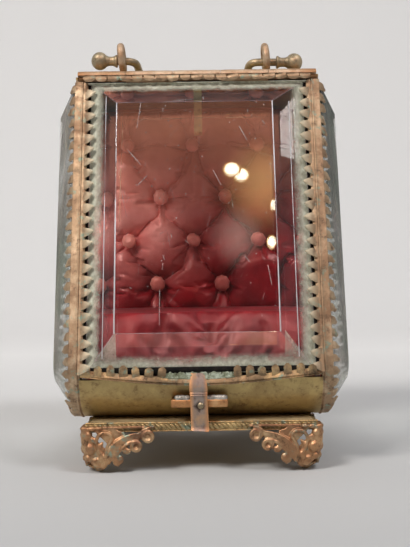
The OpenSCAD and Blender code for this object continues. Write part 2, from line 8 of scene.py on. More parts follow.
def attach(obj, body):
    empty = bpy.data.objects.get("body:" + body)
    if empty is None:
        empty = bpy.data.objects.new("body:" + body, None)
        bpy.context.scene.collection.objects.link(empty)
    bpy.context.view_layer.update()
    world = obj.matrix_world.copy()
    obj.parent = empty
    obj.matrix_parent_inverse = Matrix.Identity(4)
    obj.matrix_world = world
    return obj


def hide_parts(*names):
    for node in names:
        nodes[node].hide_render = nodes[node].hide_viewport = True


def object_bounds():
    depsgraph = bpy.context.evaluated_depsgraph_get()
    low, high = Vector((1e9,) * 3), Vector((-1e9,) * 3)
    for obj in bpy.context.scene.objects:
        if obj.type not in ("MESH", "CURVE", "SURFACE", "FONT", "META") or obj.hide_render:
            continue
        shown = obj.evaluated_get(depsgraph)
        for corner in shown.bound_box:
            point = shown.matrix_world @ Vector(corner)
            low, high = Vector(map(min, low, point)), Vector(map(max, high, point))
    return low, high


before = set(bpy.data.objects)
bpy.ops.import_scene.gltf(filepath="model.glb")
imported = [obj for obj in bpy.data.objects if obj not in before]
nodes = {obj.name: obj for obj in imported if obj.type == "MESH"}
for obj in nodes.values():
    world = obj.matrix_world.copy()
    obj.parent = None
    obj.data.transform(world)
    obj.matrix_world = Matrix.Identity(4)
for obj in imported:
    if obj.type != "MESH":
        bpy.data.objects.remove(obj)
cad_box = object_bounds()
MM = 0.001


# ----------------------------------------
# The table, the backdrop, the lamps and the camera. A pale seamless sheet runs under and up
# behind the casket, one broad lamp stands up at the left and a weaker one at the right.
bpy.context.scene.view_settings.view_transform = "Standard"


def deselect():
    bpy.ops.object.select_all(action="DESELECT")


def mode(kind):
    bpy.ops.object.mode_set(mode=kind)


def basic(kind, name=None, **sizes):
    """A basic mesh to build from, with nothing else selected."""
    deselect()
    getattr(bpy.ops.mesh, "primitive_" + kind + "_add")(**sizes)
    if name:
        bpy.context.object.name = name
    return bpy.context.object


def rotate(degrees, axis):
    return Matrix.Rotation(math.radians(degrees), 4, axis)


def plain_material(name, rough=0.5, colour=(0.8, 0.8, 0.8), metal=0.0):
    made = bpy.data.materials.new(name)
    made.use_nodes = True
    shader = made.node_tree.nodes["Principled BSDF"]
    shader.inputs["Base Color"].default_value = (*colour, 1)
    shader.inputs["Roughness"].default_value = rough
    shader.inputs["Metallic"].default_value = metal
    return made, made.node_tree, shader


def node(tree, kind, *values, **sockets):
    """A shader node: its first sockets in order, then its named sockets, each a value or a link."""
    made = tree.nodes.new("ShaderNode" + kind)
    given = [*zip(made.inputs, values),
             *((made.inputs[name.replace("_", " ")], value) for name, value in sockets.items())]
    for socket, value in given:
        if isinstance(value, bpy.types.NodeSocket):
            tree.links.new(value, socket)
        else:
            socket.default_value = value
    return made


def maths(tree, operation, *values, kind="Math"):
    made = node(tree, kind, *values)
    made.operation = operation
    return made.outputs["Value"]


def spot(tree, kind="Object"):
    """Where a point lies in its own piece."""
    return tree.nodes.new("ShaderNodeTexCoord").outputs[kind]


def xyz(tree, source=None):
    return node(tree, "SeparateXYZ", source or spot(tree)).outputs


def fade(tree, source, start, end, low=0.0, high=1.0):
    """Goes from low to high while its source goes from start to end, and is level beyond them."""
    return node(tree, "MapRange", source, start, end, low, high).outputs["Result"]


def noise(tree, scale, detail=4.0, rough=0.6, stretch=(1, 1, 1)):
    place = node(tree, "Mapping", spot(tree), Scale=stretch).outputs[0]
    return node(tree, "TexNoise", place, Scale=scale, Detail=detail, Roughness=rough).outputs["Fac"]


def ramp(tree, source, *stops):
    made = node(tree, "ValToRGB", source)
    elements = made.color_ramp.elements
    while len(elements) < len(stops):
        elements.new(0.5)
    for element, (at, colour) in zip(elements, stops):
        element.position = at
        element.color = (*colour, 1)
    return made.outputs["Color"]


def mixed_shaders(tree, factor, a, b):
    return node(tree, "MixShader", factor, a, b).outputs[0]


def mixed(tree, factor, a, b, blend="MIX"):
    made = tree.nodes.new("ShaderNodeMix")
    made.data_type, made.blend_type = "RGBA", blend
    for socket, value in zip((made.inputs[0], made.inputs[6], made.inputs[7]), (factor, a, b)):
        if isinstance(value, bpy.types.NodeSocket):
            tree.links.new(value, socket)
        else:
            socket.default_value = (*value, 1)
    return made.outputs[2]


def paint(tree, colour):
    tree.links.new(colour, tree.nodes["Principled BSDF"].inputs["Base Color"])


def surface(tree, shader):
    tree.links.new(shader, tree.nodes["Material Output"].inputs["Surface"])


def pick(piece, kind, wanted):
    """Goes into edit mode with only the wanted faces, edges or corners of a piece selected."""
    bpy.context.view_layer.objects.active = piece
    mode("EDIT")
    bpy.ops.mesh.select_mode(type={"polygons": "FACE", "edges": "EDGE", "vertices": "VERT"}[kind])
    bpy.ops.mesh.select_all(action="DESELECT")
    mode("OBJECT")
    for part in getattr(piece.data, kind):
        part.select = wanted(part)
    mode("EDIT")


def seamless_sheet():
    sheet = basic("plane", "seamless_sheet", size=1)
    for v in sheet.data.vertices:
        v.co = Vector((v.co.x * 4, -1.2 if v.co.y < 0 else 0.55, 0))
    pick(sheet, "edges", lambda e: all(sheet.data.vertices[i].co.y > 0 for i in e.vertices))
    for step in range(8):
        angle = math.radians(11.25 * (step + 0.5))
        bpy.ops.mesh.extrude_edges_move(
            TRANSFORM_OT_translate={"value": (0, 0.05 * math.cos(angle), 0.05 * math.sin(angle))})
    bpy.ops.mesh.extrude_edges_move(TRANSFORM_OT_translate={"value": (0, 0, 1.6)})
    mode("OBJECT")
    bpy.ops.object.shade_smooth()
    return sheet


sheet = seamless_sheet()
paper, tree, shader = plain_material("seamless_paper", 0.9)
# The paper is painted from mid grey in front of the casket to near white up the backdrop: a painted
# shade over the floor.
behind = fade(tree, xyz(tree)["Y"], -0.15, 0.35)
paint(tree, ramp(tree, behind, (0, (0.48, 0.48, 0.48)), (1, (0.97, 0.955, 0.94))))
shader.inputs["Specular IOR Level"].default_value = 0.2
sheet.data.materials.append(paper)

room = bpy.data.worlds.new("room")
bpy.context.scene.world = room
room.use_nodes = True
room.node_tree.nodes["Background"].inputs["Color"].default_value = (0.93, 0.93, 0.95, 1)
room.node_tree.nodes["Background"].inputs["Strength"].default_value = 0.42


def lamp(name, place, aim, size, power, colour):
    light = bpy.data.lights.new(name, "AREA")
    light.size = size
    light.energy = power
    light.color = colour
    held = bpy.data.objects.new(name, light)
    bpy.context.scene.collection.objects.link(held)
    held.location = place
    held.rotation_euler = (Vector(aim) - Vector(place)).to_track_quat("-Z", "Y").to_euler()
    return held


lamp("lamp_left", (-0.52, -0.62, 0.78), (0, 0, 0.05), 0.30, 6.8, (1.0, 0.97, 0.93))
lamp("lamp_right", (0.50, -0.50, 0.95), (0, 0, 0.05), 0.30, 3.6, (0.95, 0.97, 1.0))

# A card behind the camera carries a painted reflection: a warm lamplit room that only glossy rays see.
card = basic("grid", "painted_reflection_card", x_subdivisions=24, y_subdivisions=24, size=1)
for v in card.data.vertices:
    x, y = v.co.x, v.co.y
    v.co = (x * 1.5, -0.95 + 0.25 * abs(x * 2) ** 2 + 0.1 * y, 0.45 + y * 1.2)


def reflected_only(name, dull, glow, strength):
    """Dark, and not seen by the camera, but a bright surface in reflections: its glow is a painted
    reflection.
    """
    made, tree, shader = plain_material(name, 0.95, dull)
    seen = node(tree, "Emission", glow(tree), strength).outputs[0]
    path = tree.nodes.new("ShaderNodeLightPath").outputs
    either = mixed_shaders(tree, path["Is Glossy Ray"], shader.outputs[0], seen)
    clear = node(tree, "BsdfTransparent").outputs[0]
    surface(tree, mixed_shaders(tree, path["Is Camera Ray"], either, clear))
    return made


def painted_room_reflection(tree):
    """A painted reflection of lamplit air, darker towards the floor, with a warm wall and a pale one
    out of focus.
    """
    high = maths(tree, "MULTIPLY_ADD", noise(tree, 5, 2.0, 0.5), 0.16, xyz(tree)["Z"])
    seen = ramp(tree, high, (0.66, (0.004, 0.002, 0.002)), (0.80, (0.13, 0.043, 0.030)),
                (0.90, (0.31, 0.125, 0.082)))
    for x, z, colour, reach in ((0.096, 0.695, (0.42, 0.25, 0.09), 0.078),
                                (0.052, 0.605, (0.24, 0.18, 0.15), 0.050)):
        from_blur = node(tree, "Mapping", spot(tree), Scale=(1, 0, 0.8), Location=(-x, 0, -z * 0.8))
        blur = node(tree, "MapRange", maths(tree, "LENGTH", from_blur.outputs[0], kind="VectorMath"),
                    reach, 0.0)
        blur.interpolation_type = "SMOOTHSTEP"
        seen = mixed(tree, blur.outputs["Result"], seen, colour, "ADD")
    return seen


card.data.materials.append(reflected_only("painted_reflection_paint", (0.05, 0.04, 0.038), painted_room_reflection, 8.6))


# Painted glints: small discs behind the camera, white at the middle with an orange halo, seen only in
# reflections.
def painted_glint_glow(tree):
    return ramp(tree, maths(tree, "LENGTH", spot(tree, "UV"), kind="VectorMath"),
                (0.66, (1.0, 0.93, 0.72)), (0.85, (0.30, 0.18, 0.06)), (1.0, (0.11, 0.065, 0.022)))


glow = reflected_only("painted_glint_glow", (0.05, 0.04, 0.03), painted_glint_glow, 26.0)
glint_spots = ((0.0457, 0.719, 0.0145, 0.0145), (0.0600, 0.709, 0.014, 0.014),
         (0.1084, 0.6516, 0.0065, 0.012), (0.1017, 0.587, 0.008, 0.012))
for n, (x, z, wide, high) in enumerate(glint_spots):
    glint = basic("circle", "painted_glint_disc_%d" % n, vertices=32, radius=1, fill_type="TRIFAN")
    for loop in glint.data.loops:
        flat = glint.data.vertices[loop.vertex_index].co
        glint.data.uv_layers[0].data[loop.index].uv = (flat.x, flat.y)
    for v in glint.data.vertices:
        v.co = (x + v.co.x * wide, -0.92 - 0.0006 * n, z + v.co.y * high)
    glint.data.materials.append(glow)

camera = bpy.data.objects.new("camera", bpy.data.cameras.new("camera"))
bpy.context.scene.collection.objects.link(camera)
bpy.context.scene.camera = camera
camera.data.lens = 55.9
camera.data.clip_start = 0.01
camera.location = (0.0015, -0.2645, 0.052)
camera.rotation_euler = (rotate(90.44, "X") @ rotate(-0.85, "Z")).to_euler()


# ----------------------------------------
# The sheet brass of the casing: plates, apron, hook and gallery. It was fire gilded, and has
# since gone olive and brown in patches, with fine scratches that show the bright metal.
def grey(tree, source, low, high):
    """A ramp between two (position, brightness) stops."""
    return ramp(tree, source, *((at, (shade,) * 3) for at, shade in (low, high)))


def bumped(tree, height, strength, distance):
    made = node(tree, "Bump", Strength=strength, Distance=distance, Height=height)
    tree.links.new(made.outputs["Normal"], tree.nodes["Principled BSDF"].inputs["Normal"])


def aged_metal(name, bright, dull, worn, grime, rough=(0.28, 0.6), verdigris=0.0, metal=0.75):
    made, tree, shader = plain_material(name, metal=metal)
    patches = ramp(tree, noise(tree, 90, 6, 0.65), (0.36, dull), (0.62, bright))
    rubbed = grey(tree, noise(tree, 210, 5, 0.7), (0.50, 0), (0.66, 1))
    dirt = grey(tree, noise(tree, 420, 6, 0.75), (0.30, 1), (0.46, 0))
    colour = mixed(tree, dirt, mixed(tree, rubbed, patches, worn), grime)
    if verdigris:
        green = grey(tree, noise(tree, 300, 5, 0.7), (0.60 - verdigris * 0.2, 0), (0.66, 1))
        colour = mixed(tree, green, colour, (0.30, 0.38, 0.29))
    paint(tree, colour)
    tree.links.new(grey(tree, noise(tree, 500, 5, 0.7), (0.3, rough[1]), (0.7, rough[0])),
                   shader.inputs["Roughness"])
    bumped(tree, noise(tree, 1500, 5, 0.7), 0.35, 0.0002)
    return made


gilt = aged_metal("olive_gilding", (0.52, 0.39, 0.17), (0.42, 0.30, 0.13), (0.58, 0.44, 0.19),
                  (0.24, 0.15, 0.07), rough=(0.32, 0.55))
copper = aged_metal("worn_copper", (0.50, 0.355, 0.22), (0.33, 0.21, 0.125), (0.62, 0.48, 0.32),
                    (0.13, 0.09, 0.06), rough=(0.45, 0.75), verdigris=0.12)
tan_brass = aged_metal("tan_brass", (0.60, 0.44, 0.30), (0.47, 0.29, 0.16), (0.68, 0.54, 0.39),
                       (0.20, 0.14, 0.09), rough=(0.5, 0.75))
drab_brass = aged_metal("drab_brass", (0.46, 0.38, 0.25), (0.30, 0.24, 0.15), (0.60, 0.46, 0.28),
                        (0.12, 0.09, 0.05), rough=(0.4, 0.6))
tongue_brass = aged_metal("worn_tongue", (0.40, 0.33, 0.29), (0.30, 0.25, 0.22), (0.55, 0.36, 0.22),
                          (0.16, 0.09, 0.06), rough=(0.4, 0.65))
rope_brass = aged_metal("rubbed_rope", (0.56, 0.42, 0.20), (0.30, 0.21, 0.10), (0.72, 0.56, 0.28),
                        (0.05, 0.04, 0.02), verdigris=0.3)
cast_copper = aged_metal("cast_copper", (0.54, 0.30, 0.15), (0.26, 0.14, 0.08), (0.66, 0.46, 0.26),
                         (0.05, 0.035, 0.025), rough=(0.3, 0.55), verdigris=0.25)
# The plinth and base plate take a paler, less metallic brass: dust, and a painted fill light that lifts
# the shade in the recess under the apron.
dusty_brass_painted_fill = aged_metal("dusty_brass_painted_fill", (0.56, 0.43, 0.24), (0.42, 0.30, 0.16), (0.66, 0.52, 0.30),
                         (0.14, 0.10, 0.05), rough=(0.6, 0.8), metal=0.2)

for name, cad in nodes.items():
    cad.data.materials.clear()
    cad.data.materials.append(dusty_brass_painted_fill if name in ("plinth_plate", "base_plate") else gilt)
    if name.startswith(("corner_post", "foot_", "handle_", "side_strip", "door_strip", "hinge",
                        "latch", "catch")):
        cad.data.materials[0] = copper
nodes["catch_stud"].data.materials[0] = drab_brass


# ----------------------------------------
# The door's pane: thick plate glass ground to a broad bevel all round, each side by hand and so
# each a little different. Its rim carries a pale green crust from the brass that grips it.
LEAN = 14
TO_METRES = Matrix.Scale(MM, 4)


def move(x, y, z):
    return Matrix.Translation((x, y, z))


def scaled(x, y, z):
    return Matrix.Diagonal((x, y, z, 1))


# Each wall's frame in millimetres: x across, y into the casket, z up its slope
front_mm = move(0, -39.524, 13.6) @ rotate(-LEAN, "X")
back_mm = move(0, 37.976, 13.6) @ scaled(1, -1, 1)


def joined(name, parts):
    deselect()
    for part in parts:
        part.select_set(True)
    bpy.context.view_layer.objects.active = parts[0]
    bpy.ops.object.join()
    parts[0].name = name
    return parts[0]


def dress(piece, metal, rider, stands_for=None, place=TO_METRES):
    """Puts a finished piece in its place, gives it its material and body, and hides the part it stands
    for.
    """
    piece.data.transform(place)
    if metal:
        piece.data.materials.append(metal)
    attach(piece, rider)
    if stands_for:
        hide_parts(stands_for)


def glass_material(name, tint, haze, dirt):
    """Clear glass that lets lamplight through, under a thin uneven film of old polish."""
    made, tree, shader = plain_material(name, 0.0, tint)
    shader.inputs["IOR"].default_value = 1.5
    shader.inputs["Transmission Weight"].default_value = 1.0
    path = tree.nodes.new("ShaderNodeLightPath")
    clear = node(tree, "BsdfTransparent", (*(c * 0.95 for c in tint), 1))
    choice = mixed_shaders(tree, path.outputs["Is Shadow Ray"], shader.outputs[0], clear.outputs[0])
    film = grey(tree, noise(tree, 60, 6, 0.75, (1, 1, 0.3)), (0.40, haze[0]), (0.75, haze[1]))
    soil = node(tree, "BsdfPrincipled", ramp(tree, noise(tree, 42, 3, 0.5, (1, 1, 0.7)), *dirt),
                Roughness=0.7)
    soiled = mixed_shaders(tree, film, choice, soil.outputs[0])
    surface(tree, soiled)
    return made, tree, soiled


PANE_HALF, PANE_FOOT, PANE_HEAD = 31.0, 14.0, 99.375
PALE_CRUST = (0.3, (0.42, 0.42, 0.30)), (0.62, (0.84, 0.84, 0.69))


def add_rim_crust(made, tree, under):
    """The crust of the door's pane: it creeps in over the front from the rim, by an uneven width."""
    on_wall = node(tree, "Mapping", spot(tree), Location=(0, -39.524 * MM, 13.6 * MM),
                   Rotation=(-math.radians(LEAN), 0, 0))
    on_wall.vector_type = "TEXTURE"
    place = xyz(tree, on_wall.outputs["Vector"])
    from_side = maths(tree, "SUBTRACT", PANE_HALF * MM, maths(tree, "ABSOLUTE", place["X"]))
    from_foot = maths(tree, "SUBTRACT", place["Z"], (PANE_FOOT + 0.4) * MM)
    from_head = maths(tree, "SUBTRACT", (PANE_HEAD + 0.6) * MM, place["Z"])
    rim = maths(tree, "MINIMUM", from_side, maths(tree, "MINIMUM", from_foot, from_head))
    uneven = maths(tree, "MULTIPLY_ADD", noise(tree, 380, 6, 0.75), -3.4 * MM, rim)
    lean_in = maths(tree, "MULTIPLY_ADD", noise(tree, 35, 2, 0.5), -2.4 * MM, uneven)
    reach = fade(tree, lean_in, -1.7 * MM, 1.3 * MM, 0.97, 0.0)
    front = maths(tree, "LESS_THAN", place["Y"], 1.6 * MM)
    crust = node(tree, "BsdfPrincipled", ramp(tree, noise(tree, 800, 6, 0.8), *PALE_CRUST),
                 Roughness=0.8)
    # The two lower mitres of the bevel are painted pale with the crust: a painted highlight, where they
    # catch the light
    in_mitre = maths(tree, "MULTIPLY", maths(tree, "LESS_THAN", from_side, 8.4 * MM),
                     maths(tree, "LESS_THAN", maths(tree, "MULTIPLY", from_foot, 0.82), from_side))
    painted_mitre_highlight = maths(tree, "MULTIPLY", in_mitre, maths(tree, "MULTIPLY", noise(tree, 120, 4, 0.6), 0.75))
    crusted = maths(tree, "MULTIPLY", maths(tree, "MAXIMUM", reach, painted_mitre_highlight), front)
    surface(tree, mixed_shaders(tree, crusted, under, crust.outputs[0]))
    return made


def door_pane():
    pane = basic("cube", "bevelled_door_pane", size=1)
    for v in pane.data.vertices:
        v.co = Vector((math.copysign(PANE_HALF, v.co.x), 0.5 if v.co.y < 0 else 2.0,
                       PANE_FOOT if v.co.z < 0 else PANE_HEAD))
    pick(pane, "polygons", lambda p: p.normal.y < -0.9)
    bpy.ops.mesh.extrude_region_move(TRANSFORM_OT_translate={"value": (0, -5.3, 0)})
    mode("OBJECT")
    for v in pane.data.vertices:
        if v.co.y < -4:
            v.co.x = -PANE_HALF + 8 if v.co.x < 0 else PANE_HALF - 9.6
            v.co.z = PANE_FOOT + 10 if v.co.z < 50 else PANE_HEAD - 8.4
    pick(pane, "edges", lambda e: any(pane.data.vertices[i].co.y < -4 for i in e.vertices))
    bpy.ops.mesh.bevel(offset=0.22, segments=3)
    mode("OBJECT")
    return pane


IN_DOOR = TO_METRES @ front_mm
dress(door_pane(),
      add_rim_crust(*glass_material("door_plate_glass", (0.985, 0.995, 0.99), (0, 0.008),
                                    ((0.4, (0.55, 0.58, 0.52)), (0.6, (0.66, 0.70, 0.64))))),
      "door", "door_glass", IN_DOOR)


def broken_line(name, colour, rough, scale, detail, *stops):
    """The paint of a thin line in the glass, here and there too faint to see."""
    made, tree, shader = plain_material(name, rough, colour)
    tree.links.new(grey(tree, noise(tree, scale, detail, 0.6), *stops), shader.inputs["Alpha"])
    return made


painted_arris_highlight, faint_painted_arris_highlight, scratch_white, painted_golden_highlight = (broken_line(*form) for form in (
    ("painted_arris_highlight", (0.95, 0.93, 0.96), 0.25, 55, 3, (0.40, 0.10), (0.58, 0.95)),
    ("faint_painted_arris_highlight", (0.80, 0.62, 0.64), 0.3, 90, 4, (0.35, 0.0), (0.7, 0.55)),
    ("scratch_white", (0.92, 0.86, 0.84), 0.5, 300, 3, (0.35, 0.05), (0.65, 0.55)),
    ("painted_golden_highlight", (0.80, 0.42, 0.24), 0.4, 120, 3, (0.4, 0.05), (0.65, 0.6))))


def arris_line(line_paint, start, end, wide):
    """A thin painted line between two points; where two faces of the glass meet, it is a painted
    highlight along their arris.
    """
    line = basic("cylinder", vertices=8, radius=wide / 2, depth=1)
    way = Vector(end) - Vector(start)
    for v in line.data.vertices:
        v.co.x *= 0.9 if v.co.z > 0 else 1.1
    along = way.to_track_quat("Z", "Y").to_matrix().to_4x4()
    line.data.transform(move(*(Vector(start) + Vector(end)) / 2) @ along @ scaled(1, 1, way.length))
    line.data.materials.append(line_paint)
    bpy.ops.object.shade_smooth()
    return line


# Corners of the flat face, and of the rim below its bevels
ll, lr, ul, ur = ((x, -4.82, z) for z in (24.0, 90.975) for x in (-23, 21.4))
# Painted highlights: bright lines along the sides of the flat face and down each side bevel, fainter
# ones along its other arrises.
lines = [arris_line(painted_arris_highlight, *form) for form in (
    (ll, ul, 0.36), (lr, ur, 0.32), ((-26.3, -2.65, 17.6), (-26.3, -2.65, 94.0), 0.24),
    ((26.4, -2.09, 17.6), (26.4, -2.09, 92.0), 0.24))]
lines += [arris_line(faint_painted_arris_highlight, *form) for form in (
    (ul, ur, 0.16), (ll, lr, 0.16), (ll, (-30.2, -0.02, 15.0), 0.2), (lr, (30.2, -0.02, 15.0), 0.2),
    (ul, (-30.2, -0.02, 98.6), 0.16), (ur, (30.2, -0.02, 98.6), 0.16))]
arris_highlights = joined("door_pane_painted_arris_highlights", lines)
arris_highlights.data.transform(IN_DOOR)
for v in arris_highlights.data.vertices:
    v.co.y = max(v.co.y, cad_box[0][1] + 0.005 * MM)
dress(arris_highlights, None, "door", None, Matrix())


def on_face(line_paint, x, s, x2, s2, wide, out=-4.86):
    return arris_line(line_paint, (x, out, s), (x2, out, s2), wide)


# Old scratches and specks on its face, from and to (x, s)
scratches = ((-7.2, 91.4, -1.2, 91.6), (1.7, 92.4, 1.8, 91.6), (-9.8, 89.1, -9.8, 87.9),
             (14.4, 88.4, 14.3, 87.5), (-16.1, 90.8, -17.2, 83.1), (-19.7, 76.4, -16.0, 71.9),
             (-17.1, 65.6, -14.3, 68.6), (-7.7, 51.8, -7.4, 50.4), (-9.9, 45.6, -9.5, 44.2),
             (-18.9, 36.6, -18.4, 36.3), (-10.8, 35.8, -10.9, 26.2), (-10.7, 51.6, -8.8, 52.7),
             (-3.8, 49.7, -3.0, 48.9), (-9.9, 43.3, -10.1, 41.4), (11.8, 83.2, 13.9, 78.9),
             (18.6, 42.3, 19.5, 36.7), (4.2, 70.0, 6.3, 65.6), (18.3, 85.0, 19.1, 83.7),
             (9.3, 61.4, 9.5, 58.8), (12.2, 45.2, 13.8, 43.2))
chance = random.Random(17)
marks = [on_face(scratch_white, *ends, 0.14) for ends in scratches]
for _ in range(46):
    x, s = chance.uniform(-21, 20), chance.uniform(27, 90)
    way, long = chance.gauss(1.2, 0.5), chance.expovariate(0.6)
    marks.append(on_face(scratch_white, x, s, x + long * math.cos(way), s + long * math.sin(way),
                         0.05, -4.85))
for _ in range(70):
    x, s = chance.uniform(-22, 21), chance.triangular(25, 92, 92)
    marks.append(on_face(scratch_white, x, s, x + 0.2, s + 0.25, chance.uniform(0.08, 0.3)))
# Thin golden lines painted on its face: painted highlights of lit edges seen through the glass.
marks += [on_face(painted_golden_highlight, *form) for form in (
    (8.1, 85.9, 21.2, 85.9, 0.2), (-21.5, 85.6, 6.0, 86.0, 0.1),
    (-21.6, 71, -21.9, 52, 0.26), (-21.2, 88, -21.5, 72, 0.12))]
dress(joined("door_pane_scratches_and_painted_highlights", marks), None, "door", None, IN_DOOR)


# ----------------------------------------
# The toothed brass strips that hold the glass. Each is stamped with a row of teeth along its edge
# and folded, and the teeth are pressed down one by one over the bevel, so none is quite like
# another. First one tooth: a fin with a curled tip, which every strip copies.
def outward(degrees):
    """Turns all the faces of the piece in hand outwards, and smooths it up to an angle."""
    mode("EDIT")
    bpy.ops.mesh.select_all(action="SELECT")
    bpy.ops.mesh.normals_make_consistent(inside=False)
    mode("OBJECT")
    smooth_to(degrees)


def smooth_to(degrees):
    bpy.ops.object.shade_smooth_by_angle(angle=math.radians(degrees))


def apply_to(piece, kind, **settings):
    """Adds a modifier to the piece in hand, and applies it."""
    made = piece.modifiers.new(kind, kind)
    for name, value in settings.items():
        setattr(made, name, value)
    bpy.ops.object.modifier_apply(modifier=kind)


def own_copy(piece, name):
    copy = bpy.data.objects.new(name, piece.data.copy())
    bpy.context.scene.collection.objects.link(copy)
    return copy


def stamped_tooth(long, wide, tip, hook):
    """Lies along +x from its root, +z up its strip, and its hidden face towards +y."""
    tooth = basic("grid", x_subdivisions=6, y_subdivisions=3, size=1)
    tooth.data.materials.append(copper)
    for v in tooth.data.vertices:
        out, across = v.co.x + 0.5, v.co.y
        half = wide / 2 * (1 - (1 - tip) * out ** 1.8)
        end = 1 - 0.25 * (2 * across) ** 2 * out
        crown = -0.30 * math.sin(math.pi * min(out * 1.1, 1)) + 0.35 * across ** 2
        v.co = Vector((long * out * end, crown, 2 * across * half + hook * out ** 2))
    apply_to(tooth, "SOLIDIFY", thickness=0.34, offset=1)
    smooth_to(50)
    return tooth


def toothed(first, places, seed, rough=1.0):
    """Copies a tooth to each place, given as a matrix, and bends each a little its own way."""
    chance = random.Random(seed)
    made = []
    for place in places:
        tooth = own_copy(first, "tooth")
        own = (rotate(chance.gauss(0, 3.5) * rough, "Z")
               @ rotate(chance.gauss(0, 4) * rough, "Y")
               @ rotate(chance.gauss(0, 5) * rough, "X")
               @ scaled(chance.uniform(0.9, 1.08), 1, chance.uniform(0.9, 1.1)))
        tooth.data.transform(place @ own)
        if place.determinant() < 0:
            tooth.data.flip_normals()
        made.append(tooth)
    return made


def folded_strip(section, stations, metal=None):
    """Draws a closed (x, y) outline through a row of matrices and caps both ends."""
    strip = basic("circle", vertices=len(section), radius=1, fill_type="NGON")
    for v, (x, y) in zip(strip.data.vertices, section):
        v.co = stations[0] @ Vector((x, y, 0))
    for station in stations[1:]:
        count = len(strip.data.vertices)
        mode("EDIT")
        bpy.ops.mesh.extrude_region()
        mode("OBJECT")
        for i, (x, y) in enumerate(section):
            strip.data.vertices[count + i].co = station @ Vector((x, y, 0))
    outward(40)
    if metal:
        strip.data.materials.append(metal)
    return strip


def up(wall, s):
    return wall @ move(0, 0, s)


def mirror_x(side):
    return Matrix.Scale(side, 4, (1, 0, 0))


PITCH = 3.5
# A near-black paint for strips laid in the gaps behind and under the teeth: a painted shadow where the
# gaps show only shade.
painted_gap_shadow, tree, _ = plain_material("painted_shadow_in_the_roots", 0.9)
paint(tree, ramp(tree, noise(tree, 600), (0.4, (0.004, 0.003, 0.003)), (0.7, (0.03, 0.02, 0.015))))


def colour_so_far(tree):
    return tree.nodes["Principled BSDF"].inputs["Base Color"].links[0].from_socket


def variant(metal, name):
    """A copy of a metal, to be painted over in places."""
    made = metal.copy()
    made.name = name
    return made, made.node_tree


# The fins of the door are crusted pale and dull towards their tips
crusted_copper, tree = variant(copper, "crusted_copper")
to_tip = fade(tree, maths(tree, "ABSOLUTE", xyz(tree)["X"]), 32.0 * MM, 30.2 * MM, 0.0, 0.8)
paint(tree, mixed(tree, to_tip, colour_so_far(tree), (0.56, 0.51, 0.37)))
tree.nodes["Principled BSDF"].inputs["Metallic"].default_value = 0.35


def side_strip_of_door(side, bevel):
    fold = [(32.6, 2.5), (32.6, 0.2), (33.2, -0.05), (33.25, -0.3), (32.9, -0.42), (32.2, -0.4),
            (31.9, -0.15), (32.1, 0.3), (32.1, 2.5)]
    strip = folded_strip(fold, [mirror_x(side) @ up(front_mm, 13.7 + 85.8 * i / 9) for i in range(10)],
                         copper)
    rise = math.atan2(5.3, bevel)
    fin = stamped_tooth(3.3, 2.75, 0.30, 0.2)
    fin.data.materials[0] = crusted_copper
    places = [mirror_x(side) @ up(front_mm, 15.2 + PITCH * i) @ move(32.5, -0.1, 0)
              @ mirror_x(-1) @ Matrix.Rotation(-rise * 0.72, 4, "Z") for i in range(24)]
    teeth = toothed(fin, places, 11 + side)
    bpy.data.objects.remove(fin)
    # A dark strip along the roots of the teeth: painted shadow in the gap between the band and the
    # pane.
    shade = folded_strip([(32.1, 0.9), (32.1, 0.0), (31.1, 0.1), (31.1, 0.45), (31.8, 0.9)],
                         [mirror_x(side) @ up(front_mm, s) for s in (14.2, 60, 99)], painted_gap_shadow)
    return joined("door_teeth_" + ("left" if side < 0 else "right"), [strip, *teeth, shade])


for side, node_name, bevel in ((-1, "door_strip_left", 8.0), (1, "door_strip_right", 9.6)):
    dress(side_strip_of_door(side, bevel), None, "door", node_name)


def top_at(x):
    return front_mm @ move(x, 0, 99.97) @ rotate(90, "Y")


def bottom_at(x, drop=0.0, out=0.0):
    return front_mm @ move(x, -out, 13.2 - drop) @ rotate(-90, "Y")


# The door's top strip hangs its short scalloped teeth from under the hinge, over a crusted flange
pale_crust, tree, _ = plain_material("pale_crust", 0.8)
paint(tree, ramp(tree, noise(tree, 800, 6, 0.8), *PALE_CRUST))
bumped(tree, noise(tree, 900, 6, 0.8), 0.6, 0.0003)
across = [top_at(-32.6 + 65.2 * i / 10) for i in range(11)]
# A dark strip under the barrel: painted shadow in the gap between the hinge and the flange.
line = folded_strip([(-0.22, 2.5), (-0.22, 0.3), (-0.1, 0.15), (0.12, 0.15), (0.12, 2.5)], across, painted_gap_shadow)
strip = folded_strip([(0.14, 2.5), (0.14, 0.3), (0.2, 0.2), (0.5, 0.2), (0.56, 0.3), (0.56, 0.48),
                      (0.56, 2.5)], across, pale_crust)
fin = stamped_tooth(1.6, 3.3, 0.75, 0.15)
teeth = toothed(fin, [top_at(-31.5 + 3.5 * i) @ move(-0.9, -1.5, 0) for i in range(19)], 5)
bpy.data.objects.remove(fin)
dress(joined("door_teeth_top", [line, strip, *teeth]), None, "door", "door_strip_top")

# Its bottom strip has sagged in the middle, where it was soldered and pulled at by the catch: the
# flange there is crusted over, and the teeth beside it stand up square from the band.
def sag(x):
    return 2.7 * (1 - abs(x / 32.6) ** 1.5)


grimy_copper = aged_metal("grimy_copper", (0.44, 0.30, 0.17), (0.20, 0.14, 0.08), (0.66, 0.47, 0.24),
                          (0.05, 0.04, 0.03), rough=(0.45, 0.75), verdigris=0.2)
band = [(-0.1, 0.2), (-0.1, -0.35), (0.5, -0.5), (1.6, -0.45), (2.0, -0.2), (2.0, 0.1), (0.6, 0.25)]
strip = folded_strip(band, [bottom_at(x, sag(x)) for x in (-32.4 + 64.8 * i / 24 for i in range(25))],
                     grimy_copper)
